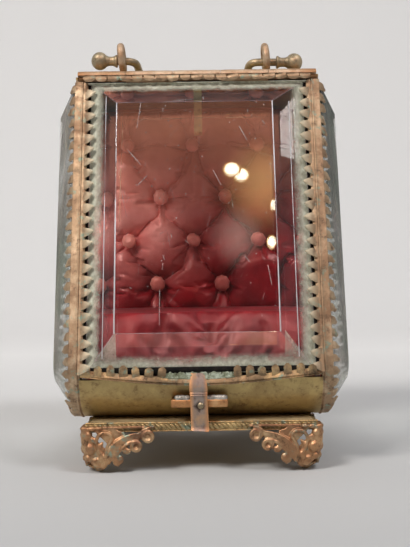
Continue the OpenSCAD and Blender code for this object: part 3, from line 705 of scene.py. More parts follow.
# A dark shelf under the bottom strip: painted shadow beneath it.
painted_shadow_shelf = folded_strip([(0.2, 2.5), (0.2, 0.0), (1.2, -0.1), (2.3, -0.65), (2.3, -0.45), (1.2, 0.6),
                      (0.7, 2.5)], [bottom_at(x) for x in (-32.2, 0, 32.2)], painted_gap_shadow)
fin = stamped_tooth(3.2, 2.2, 0.85, 0.0)
fin.data.materials[0] = grimy_copper
spots = [x for x in (-31 + 3.4 * i for i in range(19)) if abs(x + 0.5) > 8]
teeth = toothed(fin, [bottom_at(x, 0.1 + 0.35 * sag(x), 0.1) @ move(0.3, 0.1, 0)
                      @ Matrix.Rotation(-math.atan2(5.3, 10) * 0.8, 4, "Z") for x in spots], 21, 1.4)
bpy.data.objects.remove(fin)
dress(joined("door_teeth_bottom", [strip, painted_shadow_shelf, *teeth]), None, "door", "door_strip_bottom")

crusted_flange = basic("grid", "crusted_flange", x_subdivisions=60, y_subdivisions=14, size=1)
chance = random.Random(3)
for v in crusted_flange.data.vertices:
    x, high = v.co.x * 19.5 - 0.6, v.co.y + 0.5
    ragged = 0.5 * math.sin(x * 2.1) + 0.3 * math.sin(x * 5.3 + 1)
    s = 13.2 - sag(x) + 1.6 + high * (sag(x) - 0.9 + 0.5 * ragged * (high > 0.9))
    v.co = front_mm @ Vector((x, -0.55 + chance.uniform(-0.12, 0.12), s))
apply_to(crusted_flange, "SOLIDIFY", thickness=0.4)
bpy.ops.object.shade_smooth()
verdigris, tree, _ = plain_material("verdigris_crust", 0.85)
paint(tree, ramp(tree, noise(tree, 500, 6, 0.8), (0.3, (0.05, 0.04, 0.02)),
                 (0.45, (0.22, 0.24, 0.15)), (0.6, (0.55, 0.60, 0.48))))
bumped(tree, noise(tree, 900, 6, 0.8), 0.8, 0.0004)
dress(crusted_flange, verdigris, "door")


# ----------------------------------------
# The corner posts: one long strip of brass each, folded to an angle with a beaded ridge down its
# edge and curled under the casket, with finger-shaped teeth bent back over the side pane.
def angles(*degrees):
    return [math.radians(d) for d in range(*degrees)]


def post_section():
    bead = [(33.6 + 0.36 * math.cos(a), 0.12 - 0.40 * math.sin(a)) for a in angles(160, 10, -30)]
    return [(33, 6), (33, 0.6), (32.75, 0.35), (32.8, 0.05), *bead, (34.3, -0.02), (35.2, 0.0),
            (35.7, 0.06), (35.88, 0.3), (35.8, 0.62), (34.2, 0.64), (34.2, 6)]


def post_stations(wall, straight_from, straight_to, turn):
    along = [up(wall, straight_from + (straight_to - straight_from) * i / 8) for i in range(9)]
    return along + [round_bend(wall, straight_to, turn * i / 14) for i in range(1, 15)]


def round_bend(wall, start, degrees):
    return wall @ move(0, 15, start) @ rotate(degrees, "X") @ move(0, -15, 0)


# A finger tooth for the right hand, rooted on the cap and leaning back over the bevel
finger = stamped_tooth(3.1, 2.3, 0.45, -0.3)
on_cap = move(35.6, 0.42, 0) @ rotate(50, "Z")


def corner_post(wall, top, start, turn, side, seed):
    flip = mirror_x(side)
    strip = folded_strip(post_section(), [flip @ m for m in post_stations(wall, top, start, turn)],
                         copper)
    step = math.degrees(PITCH / 15)
    places = [up(wall, start + 1.8 + PITCH * i) for i in range(int((top - start) / PITCH))]
    places += [round_bend(wall, start, step * (i + 0.5)) for i in range(int(turn / step))]
    places = [flip @ place @ on_cap for place in places]
    return joined("corner_teeth", [strip, *toothed(finger, places, seed)])


HANDS = (-1, "left"), (1, "right")
for side, hand in HANDS:
    for wall, face, top, start, bend in ((front_mm, "front", 100.0, 19.2, 104),
                                         (back_mm, "back", 97.1, 15.0, 90)):
        post = corner_post(wall, top, start, bend, side, 31 + side + bend)
        post.name = "corner_strip_" + face + "_" + hand
        dress(post, None, "casket", "corner_post_" + face + "_" + hand)


# ----------------------------------------
# The side strips: the same stamped brass along the level edges of each side pane, one under the
# lid and one under the casket, soldered to the posts at their ends.
def under_side(y):
    return move(0, y, 13.6) @ rotate(90, "X")


def over_side(y):
    return move(0, y, 111.3) @ rotate(-90, "X")


over_section = [(33, 4.1), (33, -0.45), (35.7, -0.45), (35.9, -0.2), (35.9, 0.35), (35.8, 0.6),
                (34.2, 0.7), (34.2, 4.1)]
side_strips = (("bottom", post_section(), under_side, (-20.3, 0, 22.9), 61),
               ("top", over_section, over_side, (-13.1, 12, 37.9), 71))
for side, hand in HANDS:
    flip = mirror_x(side)
    for name, section, station, ys, seed in side_strips:
        strip = folded_strip(section, [flip @ station(y) for y in ys], copper)
        count = int((ys[-1] - ys[0]) / PITCH)
        first = ys[0] + (ys[-1] - ys[0] - (count - 1) * PITCH) / 2
        places = [flip @ station(first + PITCH * i) @ on_cap for i in range(count)]
        teeth = toothed(finger, places, seed + side)
        dress(joined("side_teeth_" + name + "_" + hand, [strip, *teeth]), None, "casket",
              "side_strip_" + name + "_" + hand)
bpy.data.objects.remove(finger)


# ----------------------------------------
# The hinge: five knuckles rolled from the edges of the lid and of the door's frame, a little
# uneven and nipped where they meet, on one pin; each pair of leaves is soldered down. The brass
# has worn to its copper at both ends, where the door is held.
hinge_brass, tree = variant(tan_brass, "hinge_brass")
to_end = fade(tree, maths(tree, "ABSOLUTE", xyz(tree)["X"]), 29 * MM, 34 * MM)
paint(tree, mixed(tree, to_end, colour_so_far(tree), (0.44, 0.24, 0.12)))


def arc(radius, *degrees):
    return [(radius * math.cos(a), radius * math.sin(a)) for a in angles(*degrees)]


def knuckle(x_from, x_to, seed):
    chance = random.Random(seed)
    roll = arc(1.42, -60, 285, 15) + arc(0.78, 270, -75, -15)
    stations = []
    count = 9
    for i in range(count + 1):
        x = x_from + 0.06 + (x_to - x_from - 0.12) * i / count
        size = 0.965 if i in (0, count) else chance.uniform(0.985, 1.02)
        stations.append(move(x, -14.891, 112.4 + chance.uniform(-0.03, 0.03))
                        @ rotate(90, "Y") @ Matrix.Scale(size, 4))
    return folded_strip(roll, stations)


def along_x(outline, x_from, x_to):
    """A plate or strip along x, drawn from an outline in (y, z)."""
    across = Matrix(((0, 0, 1, 0), (1, 0, 0, 0), (0, 1, 0, 0), (0, 0, 0, 1)))
    return folded_strip(outline, [move(x, 0, 0) @ across for x in (x_from, (x_from + x_to) / 2, x_to)])


lid_leaf = [(-14.6, 112.62), (-9.0, 112.62), (-8.9, 112.8), (-9.2, 113.0), (-14.0, 113.3),
            (-14.8, 113.1)]
frame_leaf = [(-15.9, 110.3), (-15.2, 110.3), (-14.9, 111.3), (-14.9, 111.6), (-16.1, 111.6),
              (-16.2, 111.0)]
for name, spans, plate, rider, stands_for in (
        ("hinge_rolls_lid", ((-35, -21), (-7, 7), (21, 35)), lid_leaf, "casket", "hinge_knuckles_body"),
        ("hinge_rolls_door", ((-21, -7), (7, 21)), frame_leaf, "door", "hinge_knuckles_door")):
    parts = []
    for n, (x_from, x_to) in enumerate(spans):
        parts += [knuckle(x_from, x_to, 80 + n), along_x(plate, x_from + 0.2, x_to - 0.2)]
    dress(joined(name, parts), hinge_brass, rider, stands_for)


# ----------------------------------------
# The handle: a bail of drawn wire that swings in two eyes riveted through the lid. Each end
# carries a collar, a hollow neck and a ball, turned in one and screwed on.
def rod(points, name="rod"):
    """A round rod through (x, y, z, radius) points."""
    deselect()
    bpy.ops.curve.primitive_nurbs_path_add()
    made = bpy.context.object
    made.name = name
    made.data.splines.clear()
    line = made.data.splines.new("NURBS")
    line.points.add(len(points) - 1)
    for p, (x, y, z, r) in zip(line.points, points):
        p.co = (x, y, z, 1)
        p.radius = r
    line.order_u = min(3, len(points))
    line.use_endpoint_u = True
    line.resolution_u = 8
    made.data.bevel_depth = 1
    made.data.bevel_resolution = 4
    made.data.use_fill_caps = True
    bpy.ops.object.convert(target="MESH")
    smooth_to(60)
    return made


def turned(name, profile):
    """Spins an (x, radius) profile about the x axis."""
    made = basic("circle", name, vertices=len(profile), radius=1)
    for v, (x, r) in zip(made.data.vertices, profile):
        v.co = (x, 0, r)
    last = len(profile) - 1
    pick(made, "edges", lambda e: set(e.vertices) == {0, last})
    mode("EDIT")
    bpy.ops.mesh.delete(type="EDGE")
    bpy.ops.mesh.select_all(action="SELECT")
    bpy.ops.mesh.spin(steps=36, angle=2 * math.pi, center=(0, 0, 0), axis=(1, 0, 0))
    bpy.ops.mesh.select_all(action="SELECT")
    bpy.ops.mesh.remove_doubles(threshold=0.002)
    bpy.ops.mesh.normals_make_consistent(inside=False)
    mode("OBJECT")
    smooth_to(35)
    return made


PIVOT_Y, PIVOT_Z = -8.391, 118.25
trace = [(-23.9, 0), (-21.4, 0), (-20.0, 0.2), (-18.6, 1.4), (-18.2, 3.4), (-18.1, 6.0), (-17.7, 11),
         (-17.4, 16), (-17.2, 18.6), (-16.2, 21.2), (-12, 22.0), (-6, 22.0), (0, 21.95), (6, 22.0),
         (11.5, 22.0), (14.6, 21.2), (15.6, 18.6), (15.7, 16), (15.7, 10), (15.7, 5.0), (15.9, 2.2),
         (16.9, 0.5), (18.6, 0.05), (21.5, 0), (23.9, 0)]
chance = random.Random(9)
leaning = math.radians(10)
bail = rod([(x, PIVOT_Y + r * math.cos(leaning), PIVOT_Z - r * math.sin(leaning),
             1.17 + chance.uniform(-0.03, 0.02)) for x, r in trace], "swing_bail")
# The handle hangs 0.3 mm low in its eyes, and a little lower at the right
hung = TO_METRES @ move(0, 0, PIVOT_Z - 0.3) @ rotate(1.2, "Y") @ move(0, 0, -PIVOT_Z)
dress(bail, drab_brass, "handle", "handle_bail", place=hung)
ball = [(0, 0.01), (0, 1.5), (0.12, 1.86), (0.35, 1.92), (0.55, 1.86), (0.75, 1.7), (1.1, 1.5),
        (1.6, 1.38), (2.2, 1.36), (2.7, 1.42), (3.1, 1.55), (3.35, 1.68)]
ball += [(5.4 - 2.55 * math.cos(a), 2.68 * math.sin(a)) for a in angles(40, 180, 7)]
for side, hand in HANDS:
    knob = turned("turned_ball_" + hand, ball + [(7.95, 0.01)])
    if side < 0:
        knob.data.flip_normals()
    dress(knob, drab_brass, "handle", "handle_ball_" + hand,
          place=hung @ move(side * 23.9, PIVOT_Y, PIVOT_Z) @ mirror_x(side))
for x, high, hand in ((-22.6, 119.3, "left"), (20.7, 118.7, "right")):
    ring = basic("torus", major_segments=56, minor_segments=16, major_radius=3.46, minor_radius=1.08)
    ring.data.transform(move(x, PIVOT_Y, high) @ rotate(90 - 4.8, "Y") @ scaled(1, 1, 0.98))
    shank = rod([(x + dx, PIVOT_Y, z, thick) for dx, z, thick in (
        (0, 112.62, 1.14), (0, 113.2, 1.12), (0.02, 114.4, 0.96),
        (0.2, high - 3.8, 0.92), (0.28, high - 3.3, 0.9))])
    eye = joined("riveted_eye_" + hand, [ring, shank])
    smooth_to(50)
    dress(eye, tan_brass, "casket", "handle_eye_" + hand)


# ----------------------------------------
# The catch: a copper bar soldered across the apron with a stud in its middle, and the sprung
# tongue that comes down from the door, snaps over the stud and is lifted by its lip.
tongue_run = [(27.1, -36.85, 1.9), (26.0, -37.15, 2.05), (24.6, -37.5, 2.3), (23.4, -37.78, 2.42),
              (22.5, -37.8, 2.42), (22.0, -37.45, 2.36), (21.7, -37.55, 2.36), (21.4, -37.3, 2.33),
              (21.1, -37.4, 2.33), (20.8, -37.12, 2.3), (20.0, -36.98, 2.3), (18.4, -36.9, 2.32),
              (16.5, -36.88, 2.35), (14.5, -36.8, 2.36), (13.0, -36.8, 2.4), (12.2, -36.95, 2.42),
              (11.65, -37.25, 2.4)]
tongue = basic("grid", "sprung_tongue", x_subdivisions=14, y_subdivisions=len(tongue_run) - 1, size=2)
for v in tongue.data.vertices:
    n = round((1 - v.co.y) / 2 * (len(tongue_run) - 1))
    z, y, wide = tongue_run[n]
    x = v.co.x * wide
    lift = 0.22 * abs(v.co.x) ** 6
    dimple = 0.45 * math.exp(-((x / 1.0) ** 2 + ((z - 18.4) / 1.0) ** 2))
    v.co = (x - 0.6 + (18.4 - z) * 0.03, y + lift + dimple, z - 0.15 * v.co.x * (n > 13))
apply_to(tongue, "SOLIDIFY", thickness=0.5, offset=-1)
outward(45)

bar = basic("cube", "catch_bar_soldered", size=1)
for v in bar.data.vertices:
    v.co = (-0.5 + v.co.x * 15.4, -33.5 + v.co.y * 5, 18.85 + v.co.z * 2.3)
apply_to(bar, "BEVEL", width=0.5, segments=3)
smooth_to(40)

lumps = []
chance = random.Random(4)
for x, wide, deep in ((-5.2, 2.0, 0.8), (-4.0, 1.2, 0.75), (1.0, 1.4, 0.75), (3.0, 1.8, 0.75),
                      (5.0, 1.8, 0.75), (6.2, 1.0, 0.75), (-6.4, 0.9, 0.75)):
    high = 20.3 + (chance.uniform(-0.1, 0.1) if lumps else 0)
    lumps.append(basic("uv_sphere", segments=24, ring_count=12, radius=1))
    lumps[-1].data.transform(move(x, -35.25, high) @ scaled(wide, deep, 0.85))
solder = joined("solder_on_catch", lumps)
apply_to(solder, "REMESH", mode="VOXEL", voxel_size=0.12)
bpy.ops.object.shade_smooth()

# The tongue is worn to its copper along both rims, and painted dark round the stud: a painted shade in
# its dent
tree = tongue_brass.node_tree
across = maths(tree, "ABSOLUTE", maths(tree, "ADD", xyz(tree)["X"], 0.6 * MM))
rims = mixed(tree, fade(tree, across, 1.2 * MM, 2.1 * MM), colour_so_far(tree), (0.66, 0.35, 0.17))
from_stud = maths(tree, "ABSOLUTE", maths(tree, "SUBTRACT", xyz(tree)["Z"], 18.2 * MM))
painted_shade_round_stud = fade(tree, maths(tree, "ADD", across, from_stud), 1.9 * MM, 0.9 * MM)
paint(tree, mixed(tree, painted_shade_round_stud, rims, (0.06, 0.04, 0.03)))
orange_bar = aged_metal("orange_bar", (0.60, 0.31, 0.13), (0.42, 0.20, 0.09), (0.70, 0.44, 0.22),
                        (0.16, 0.09, 0.05), rough=(0.4, 0.65))
tin, tree, _ = plain_material("old_solder", 0.5, metal=0.6)
paint(tree, ramp(tree, noise(tree, 700, 5, 0.7), (0.35, (0.20, 0.19, 0.16)), (0.6, (0.60, 0.58, 0.53))))
bumped(tree, noise(tree, 1200, 5, 0.7), 0.5, 0.0003)
dress(tongue, tongue_brass, "latch", "latch_tongue")
dress(bar, orange_bar, "casket", "catch_bar")
dress(solder, tin, "casket")


# ----------------------------------------
# The gallery round the plinth: a strip of brass stamped with a slanting rope between two fillets,
# its high spots rubbed bright and its hollows green.
def rope_strip(name, long, seed):
    """Lies along x with its face towards -y, and stands on z = 0."""
    chance = random.Random(seed)
    back = along_x([(1.15, 0), (0.55, 0), (0.45, 0.15), (0.55, 0.35), (0.6, 2.25), (0.45, 2.42),
                    (0.55, 2.6), (1.15, 2.6)], -long / 2, long / 2)
    strand = basic("uv_sphere", segments=10, ring_count=7, radius=1)
    strand.data.transform(scaled(0.42, 0.36, 1.25))
    bpy.ops.object.shade_smooth()
    count = int(long / 1.28)
    places = [move(-long / 2 + long * (i + 0.5) / count, 0.5 + chance.uniform(0, 0.08), 1.3)
              @ rotate(-48, "Y") for i in range(count)]
    strands = toothed(strand, places, seed, 0.6)
    bpy.data.objects.remove(strand)
    return joined(name, [back, *strands])


for hand, long, place in (
        ("front", 63.1, move(0, -34.02, 11)),
        ("back", 63.1, move(0, 34.98, 11) @ rotate(180, "Z")),
        ("left", 66.4, move(-31.6, 0.48, 11) @ rotate(-90, "Z")),
        ("right", 66.4, move(31.6, 0.48, 11) @ rotate(90, "Z"))):
    dress(rope_strip("rope_gallery_" + hand, long, 90), rope_brass, "casket", "gallery_" + hand,
          TO_METRES @ place)


# ----------------------------------------
# The corner feet: castings in the rococo manner, each with two wings under the gallery. A ribbed
# leaf sweeps along a wing, curls over at both ends, and the leg comes down from the corner
# between shells and scrolls. Positions run along the wing from the corner, and up.
def lump(u, z, wide, high, out, deep, lean=0.0):
    made = basic("uv_sphere", segments=20, ring_count=12, radius=1)
    made.data.transform(move(u, out, z) @ rotate(lean, "Y") @ scaled(wide, deep, high))
    return made


def curl(u, z, radius, wire):
    made = basic("torus", major_segments=36, minor_segments=12, major_radius=radius, minor_radius=wire)
    made.data.transform(move(u, 0.75, z) @ rotate(90, "X"))
    return made


def vine(*points, out=0.9):
    return rod([(p[0], p[3] if len(p) > 3 else out, p[1], p[2]) for p in points])


def web(outline, *depths):
    standing = Matrix(((1, 0, 0, 0), (0, 0, 1, 0), (0, 1, 0, 0), (0, 0, 0, 1)))
    return folded_strip(outline, [move(0, y, 0) @ standing for y in depths])


def wing():
    ribs = []
    for t in (0, 0.2, 0.4, 0.6, 0.8, 1):
        ribs.append(vine(
            (16.6 - 0.5 * t, 10.9 - 1.7 * t, 0.28), (14.6 - 0.8 * t, 10.6 - 2.1 * t, 0.40),
            (12.6 - 0.2 * t, 10.0 - 2.2 * t, 0.42), (10.2 + 0.6 * t, 8.8 - 2.5 * t, 0.40, 0.7),
            (8.4 + 0.8 * t, 6.8 - 2.1 * t, 0.40, 0.55), (7.8 + 0.5 * t, 4.8 - 1.3 * t, 0.32),
            (7.6, 2.6, 0.25)))
    webs = [
        web([(17.0, 11.4), (17.2, 9.4), (15.6, 8.4), (12.4, 7.1), (10.7, 5.7), (9.2, 4.2),
             (8.2, 2.4), (7.2, 2.6), (7.3, 5.0), (8.0, 7.2), (9.6, 9.0), (12.2, 10.2),
             (14.6, 10.8)], 1.7, 1.3, 0.9),
        web([(0.8, 12.4), (0.5, 9), (1.2, 6), (2.4, 3.4), (4.6, 1.4), (7.4, 1.8), (8.2, 4.4),
             (7.2, 6.4), (3.6, 10.0), (3.2, 11.2), (3.4, 12.4)], 2.0, 1.6, 1.2),
        web([(3.2, 12.4), (3.4, 11.4), (4.6, 11.0), (8.0, 7.6), (7.4, 6.4), (9.4, 6.2), (10.8, 8.2),
             (12.4, 9.8), (12.4, 11.0), (8.0, 12.4)], 2.0, 1.6, 1.2)]
    outer_curls = [
        curl(18.6, 10.0, 1.25, 0.62), lump(18.6, 10.0, 0.8, 0.8, 1.2, 0.5),
        vine((19.2, 12.3, 0.5), (18.0, 12.0, 0.5), (16.6, 11.2, 0.4), (15.9, 10.2, 0.4)),
        curl(15.4, 7.4, 1.1, 0.66), lump(15.3, 7.3, 0.7, 0.6, 1.2, 0.5),
        lump(14.2, 8.6, 1.5, 1.0, 1.2, 0.6, 30),
        vine((16.6, 8.0, 0.3), (15.2, 8.9, 0.42), (13.2, 8.2, 0.42), (11.6, 6.8, 0.38),
             (10.2, 5.0, 0.34), (9.0, 3.6, 0.3), out=0.6)]
    leg_scrolls = [
        lump(12.7, 6.2, 1.3, 1.0, 0.9, 0.8, 25), lump(10.4, 3.8, 1.6, 1.5, 1.1, 1.0),
        vine((11.6, 4.6, 0.4), (10.0, 4.9, 0.4), (9.2, 3.6, 0.4), (9.6, 2.4, 0.35), (10.8, 2.2, 0.3)),
        vine((9.2, 9.4, 0.4), (8.6, 10.6, 0.5), (7.2, 11.2, 0.55), (5.6, 10.9, 0.5), (4.7, 9.4, 0.5),
             (4.5, 8.2, 0.45)),
        vine((9.0, 9.4, 0.5), (7.9, 8.0, 0.5), (7.2, 6.2, 0.5), (7.3, 4.2, 0.55), (7.0, 2.6, 0.6),
             (6.4, 1.6, 0.6, 1.6)),
        lump(5.6, 7.4, 0.62, 1.5, 1.3, 0.5, 35),
        vine((4.6, 8.6, 0.45), (5.0, 6.6, 0.5), (5.8, 5.4, 0.55), (6.6, 4.4, 0.5), out=1.1)]
    shells = [lump(*form) for form in (
        (6.0, 4.3, 0.8, 1.3, 1.2, 0.8, 15), (4.4, 3.6, 0.9, 0.75, 1.4, 0.8, -30),
        (4.9, 2.5, 0.8, 0.6, 1.8, 0.8, -20), (2.2, 10.4, 1.15, 1.15, 1.1, 1.0),
        (3.0, 6.7, 1.3, 1.75, 1.3, 1.15, -15), (2.4, 4.2, 0.9, 1.0, 1.6, 0.9),
        (3.4, 12.2, 1.1, 0.7, 1.0, 0.8), (5.4, 12.3, 1.0, 0.55, 1.0, 0.7),
        (1.3, 12.3, 1.0, 0.6, 1.1, 0.9), (3.6, 9.0, 0.9, 1.1, 1.2, 0.7, 20))]
    top_wire = vine((0.9, 12.4, 0.5), (8, 12.35, 0.42), (14, 12.4, 0.36), (20.4, 12.4, 0.45), out=1.6)
    return ribs + webs + outer_curls + leg_scrolls + shells + [top_wire]


parts = wing()
other_wing = Matrix(((0, 1, 0, 0), (1, 0, 0, 0), (0, 0, 1, 0), (0, 0, 0, 1)))
for part in wing():
    part.data.transform(other_wing)
    part.data.flip_normals()
    parts.append(part)
for leg in ([(1.7, 1.7, 12.3, 1.3), (1.5, 1.5, 9.5, 1.25), (2.0, 2.0, 6.5, 1.25), (3.4, 3.4, 4.0, 1.3),
             (4.7, 4.7, 2.2, 1.2), (4.9, 4.9, 1.0, 0.95)],
            [(4.9, 4.9, 1.3, 1.1), (5.0, 5.0, 0.75, 1.15), (5.0, 5.0, 0.02, 0.95)],
            [(6.4, 1.8, 1.7, 0.6), (5.6, 3.4, 1.0, 0.7), (5.0, 4.6, 0.8, 0.8)],
            [(1.8, 6.4, 1.7, 0.6), (3.4, 5.6, 1.0, 0.7), (4.6, 5.0, 0.8, 0.8)]):
    parts.append(rod(leg))
casting = joined("corner_casting", parts)
apply_to(casting, "REMESH", mode="VOXEL", voxel_size=0.17)
apply_to(casting, "SMOOTH", iterations=2)
apply_to(casting, "DECIMATE", ratio=0.16)
for v in casting.data.vertices:
    v.co = (min(max(v.co.x, 0.02), 20.95), min(max(v.co.y, 0.02), 20.95), min(max(v.co.z, 0.0), 12.86))
bpy.ops.object.shade_smooth()
for face, y, toward_back in (("front", -35.62, 1), ("back", 36.58, -1)):
    for side, hand in HANDS:
        cast = own_copy(casting, "cast_foot_" + face + "_" + hand)
        if side == toward_back:
            cast.data.flip_normals()
        dress(cast, cast_copper, "casket", "foot_" + face + "_" + hand,
              place=TO_METRES @ move(side * 33.2, y, 0) @ scaled(-side, toward_back, 1))
bpy.data.objects.remove(casting)


# ----------------------------------------
# The side panes: thick plate again, bevelled steeply on the outside and rounded at the two lower
# corners. Dust and old polish have settled on them in streaks.
side_glass = glass_material("side_plate_glass", (0.975, 0.99, 0.98), (0.10, 0.58),
                            ((0.40, (0.08, 0.11, 0.08)), (0.50, (0.30, 0.36, 0.28)),
                             (0.60, (0.62, 0.56, 0.50)), (0.70, (0.97, 0.97, 0.95))))[0]
for name in ("side_glass_left", "side_glass_right"):
    nodes[name].data.materials[0] = side_glass


# ----------------------------------------
# The lining card: pasteboard behind and under the silk, covered in the same crimson satin. The
# satin has gone brown towards the ceiling, where the light has reached it longest.
satin, tree, shader = plain_material("crimson_satin")
x, _, z = xyz(tree)
deep = ramp(tree, noise(tree, 60, 5, 0.6), (0.35, (0.13, 0.002, 0.006)), (0.65, (0.34, 0.006, 0.012)))
# The satin is painted brighter up at the left of the pad: a painted pool of light.
painted_light_dye = ramp(tree, noise(tree, 60, 5, 0.6), (0.35, (0.72, 0.13, 0.12)), (0.65, (0.98, 0.38, 0.34)))
faded = ramp(tree, noise(tree, 70, 4, 0.6), (0.3, (0.46, 0.14, 0.08)), (0.7, (0.66, 0.26, 0.15)))
painted_light_mask = maths(tree, "MULTIPLY", fade(tree, x, 6 * MM, -14 * MM), fade(tree, z, 48 * MM, 68 * MM))
# Below the cushion's top the satin is painted darker: a painted shade over the cushion and the lining's
# floor.
painted_shade_on_cushion = fade(tree, z, 40 * MM, 46 * MM, 0.45)
dye = mixed(tree, painted_shade_on_cushion, (0.06, 0.001, 0.003), mixed(tree, painted_light_mask, deep, painted_light_dye))
paint(tree, mixed(tree, fade(tree, z, 74 * MM, 106 * MM), dye, faded))
tree.links.new(fade(tree, z, 40 * MM, 46 * MM, 0.52, 0.30), shader.inputs["Roughness"])
for quality, value in (("Specular IOR Level", 0.6), ("Specular Tint", (1.0, 0.58, 0.55, 1)),
                       ("Sheen Weight", 0.10), ("Sheen Roughness", 0.4),
                       ("Sheen Tint", (1.0, 0.55, 0.6, 1)), ("Anisotropic", 0.4)):
    shader.inputs[quality].default_value = value
bumped(tree, noise(tree, 900, 3, 0.6, (1, 1, 0.25)), 0.25, 0.0002)
for name in ("back_board", "floor_tray"):
    nodes[name].data.materials[0] = satin


# ----------------------------------------
# The back pad: crimson satin drawn over stuffing and tied down with covered buttons, so that it
# puffs into soft diamonds with pleats between the buttons. It is glued to the lining card.
button_places = [(-2.2 + 22 * (i + odd / 2) - 1.5 * (z == 50.3), z)
                 for z, odd in ((97.5, 0), (79.9, 1), (65.1, 0), (50.3, 1), (35.5, 0))
                 for i in ((-1, 0) if odd else (-1, 0, 1))]


def pleat_lines(places):
    """Lines (x, z, x2, z2) between neighbouring buttons, and from the outer ones to the edges."""
    lines = [(x, z, x2, z2) for x, z in places for x2, z2 in places
             if 13 < z - z2 < 19 and abs(x - x2) < 13]
    for x, z in places:
        if x < -20 or x > 15:
            lines += [(x, z, math.copysign(40, x), z - 9), (x, z, math.copysign(40, x), z + 7)]
    for x in (-24.2, -2.2, 19.8):
        lines += [(x, 97.5, x + dx, 112) for dx in (-5, 4)] + [(x, 35.5, x + dx, 24) for dx in (-6, 5)]
    return lines


def near_line(x, z, line):
    x1, z1, x2, z2 = line
    along = max(0, min(1, ((x - x1) * (x2 - x1) + (z - z1) * (z2 - z1))
                       / ((x2 - x1) ** 2 + (z2 - z1) ** 2)))
    sag = 2.2 * math.sin(math.pi * along)
    return math.hypot(x - x1 - along * (x2 - x1), z + sag - z1 - along * (z2 - z1))


def inflate(piece, pinned, pressure, slack, frames):
    """Puffs a light cloth skin with its pinned points held, at a size the solver is happy with."""
    grown, stiff = 12, 6
    for v in piece.data.vertices:
        v.co *= grown
    piece.vertex_groups.new(name="held").add(pinned, 1, "REPLACE")
    cloth = piece.modifiers.new("cloth", "CLOTH")
    for name, value in (("quality", 6), ("mass", 0.2), ("tension_stiffness", stiff),
                        ("compression_stiffness", stiff), ("shear_stiffness", stiff * 0.5),
                        ("bending_stiffness", 0.05), ("vertex_group_mass", "held"),
                        ("use_pressure", True), ("uniform_pressure_force", pressure),
                        ("shrink_min", -slack)):
        setattr(cloth.settings, name, value)
    cloth.settings.effector_weights.gravity = 0
    cloth.point_cache.frame_end = frames
    for frame_now in range(1, frames + 1):
        bpy.context.scene.frame_set(frame_now)
    deselect()
    piece.select_set(True)
    bpy.context.view_layer.objects.active = piece
    bpy.ops.object.modifier_apply(modifier="cloth")
    bpy.context.scene.frame_set(1)
    for v in piece.data.vertices:
        v.co /= grown


def tufted_pad():
    lines = pleat_lines(button_places)
    pad = basic("grid", "tufted_back_pad", x_subdivisions=132, y_subdivisions=166, size=1)
    held = []
    for v in pad.data.vertices:
        x, z = v.co.x * 65, 68.8 + v.co.y * 82
        rim = min(32.5 - abs(x), 109.8 - z, z - 27.8)
        pit = min(math.hypot(x - bx, z - bz) for bx, bz in button_places)
        fold = min(near_line(x, z, line) for line in lines)
        puff = (1 - math.exp(-fold / 3.0)) * (1 - math.exp(-pit / 4.0)) * (1 - math.exp(-rim / 2.5))
        v.co = Vector((x, 30.6 if pit < 2.0 else 31.0 - 3.2 * puff, z)) * MM
        if pit < 2.0 or rim < 0.3:
            held.append(v.index)
    inflate(pad, held, 5.0, 0.16, 24)
    soft, reach, wide = 26 * MM, 24.4 * MM, 32.6 * MM
    for v in pad.data.vertices:
        if v.co.y < soft:
            v.co.y = soft - (soft - reach) * (1 - math.exp((v.co.y - soft) / (1.6 * MM)))
        v.co.x = max(-wide, min(wide, v.co.x))
        v.co.y = min(v.co.y, 34 * MM)
    mode("EDIT")
    bpy.ops.mesh.select_all(action="SELECT")
    bpy.ops.mesh.region_to_loop()
    bpy.ops.mesh.extrude_edges_move(TRANSFORM_OT_translate={"value": (0, 1 * MM, 0)})
    mode("OBJECT")
    for v in pad.data.vertices:
        if v.select:
            v.co.y = 34.9 * MM
    mode("EDIT")
    bpy.ops.mesh.edge_face_add()
    mode("OBJECT")
    outward(60)
    return pad


back_pad = tufted_pad()
dress(back_pad, satin, "casket", "back_pad", Matrix())


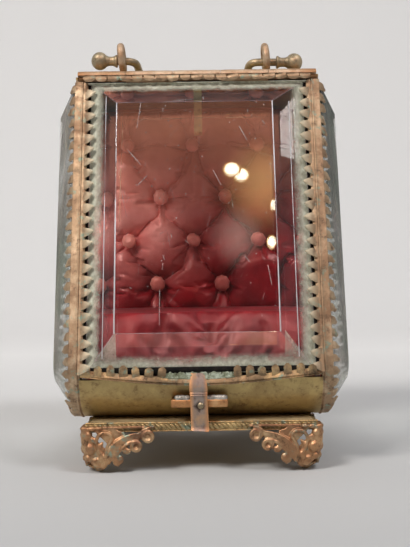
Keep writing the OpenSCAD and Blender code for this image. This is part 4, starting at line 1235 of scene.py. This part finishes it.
# ----------------------------------------
# The covered buttons: flat wooden moulds with a scrap of the same satin gathered over each, tied
# through the pad. No two sit quite square, and the cloth puckers round their rims.
def covered_buttons():
    radius = 2.75 * MM
    first = basic("uv_sphere", "covered_buttons", segments=32, ring_count=16, radius=radius)
    for v in first.data.vertices:
        around = math.atan2(v.co.z, v.co.x)
        out = math.hypot(v.co.x, v.co.z) / radius
        pucker = 1 + 0.05 * out * math.sin(9 * around) * (v.co.y > -1.2 * MM)
        tied_in = 0.35 * MM * math.exp(-(out * 4) ** 2) * (v.co.y < 0)
        v.co = Vector((v.co.x * pucker, v.co.y * 0.62 + tied_in, v.co.z * pucker))
    chance = random.Random(7)
    copies = [first, *(own_copy(first, "covered_button") for _ in button_places[1:])]
    for copy, (x, z) in zip(copies, button_places):
        lean = (rotate(chance.uniform(-22, 22), "X") @ rotate(chance.uniform(-24, 24), "Z")
                @ rotate(chance.uniform(0, 90), "Y"))
        size = chance.uniform(0.9, 1.06)
        copy.data.transform(move(x * MM, 27.3 * MM, z * MM) @ lean
                            @ scaled(size, 1, size * chance.uniform(0.88, 1)))
        copy.select_set(True)
    bpy.context.view_layer.objects.active = first
    bpy.ops.object.join()
    bpy.ops.object.shade_smooth()
    return first


button_satin, tree = variant(satin, "rubbed_button_satin")
rubbed = grey(tree, noise(tree, 90, 2, 0.5), (0.42, 0.25), (0.6, 0.85))
paint(tree, mixed(tree, rubbed, colour_so_far(tree), (0.90, 0.30, 0.24)))
dress(covered_buttons(), button_satin, "casket", "back_buttons", Matrix())


# ----------------------------------------
# The floor cushion: a flat satin pillow stuffed with wool, too full for its cover, so that its
# front edge ruches and folds fan out from where it was caught by a stitch.
def floor_pillow():
    pillow = basic("cube", "floor_pillow", size=1)
    for v in pillow.data.vertices:
        top = v.co.z > 0
        near = -26.5 if top else -28.5
        v.co = Vector((math.copysign(28.0 if top else 29.0, v.co.x),
                       24.0 if v.co.y > 0 else near, 39.0 if top else 27.8)) * MM
    apply_to(pillow, "BEVEL", width=3 * MM, segments=3)
    apply_to(pillow, "REMESH", voxel_size=0.95 * MM)
    held = []
    for v in pillow.data.vertices:
        stitch = math.hypot(v.co.x - 3 * MM, v.co.y + 25 * MM, v.co.z - 37 * MM)
        if v.co.z < 29 * MM:
            held.append(v.index)
        if stitch < 2.2 * MM:
            v.co.y += 2.0 * MM
            v.co.z -= 1.6 * MM
            held.append(v.index)
    inflate(pillow, held, 4.0, 0.20, 20)
    for v in pillow.data.vertices:
        v.co.x = max(-30.3 * MM, min(30.3 * MM, v.co.x))
        v.co.y = max(-29.6 * MM + 0.25 * (v.co.z - 36 * MM), min(26.5 * MM, v.co.y))
        v.co.z = max(27.5 * MM, min(42.5 * MM, v.co.z))
    bpy.ops.object.shade_smooth()
    return pillow


pillow = floor_pillow()
dress(pillow, satin, "casket", "floor_cushion", Matrix())
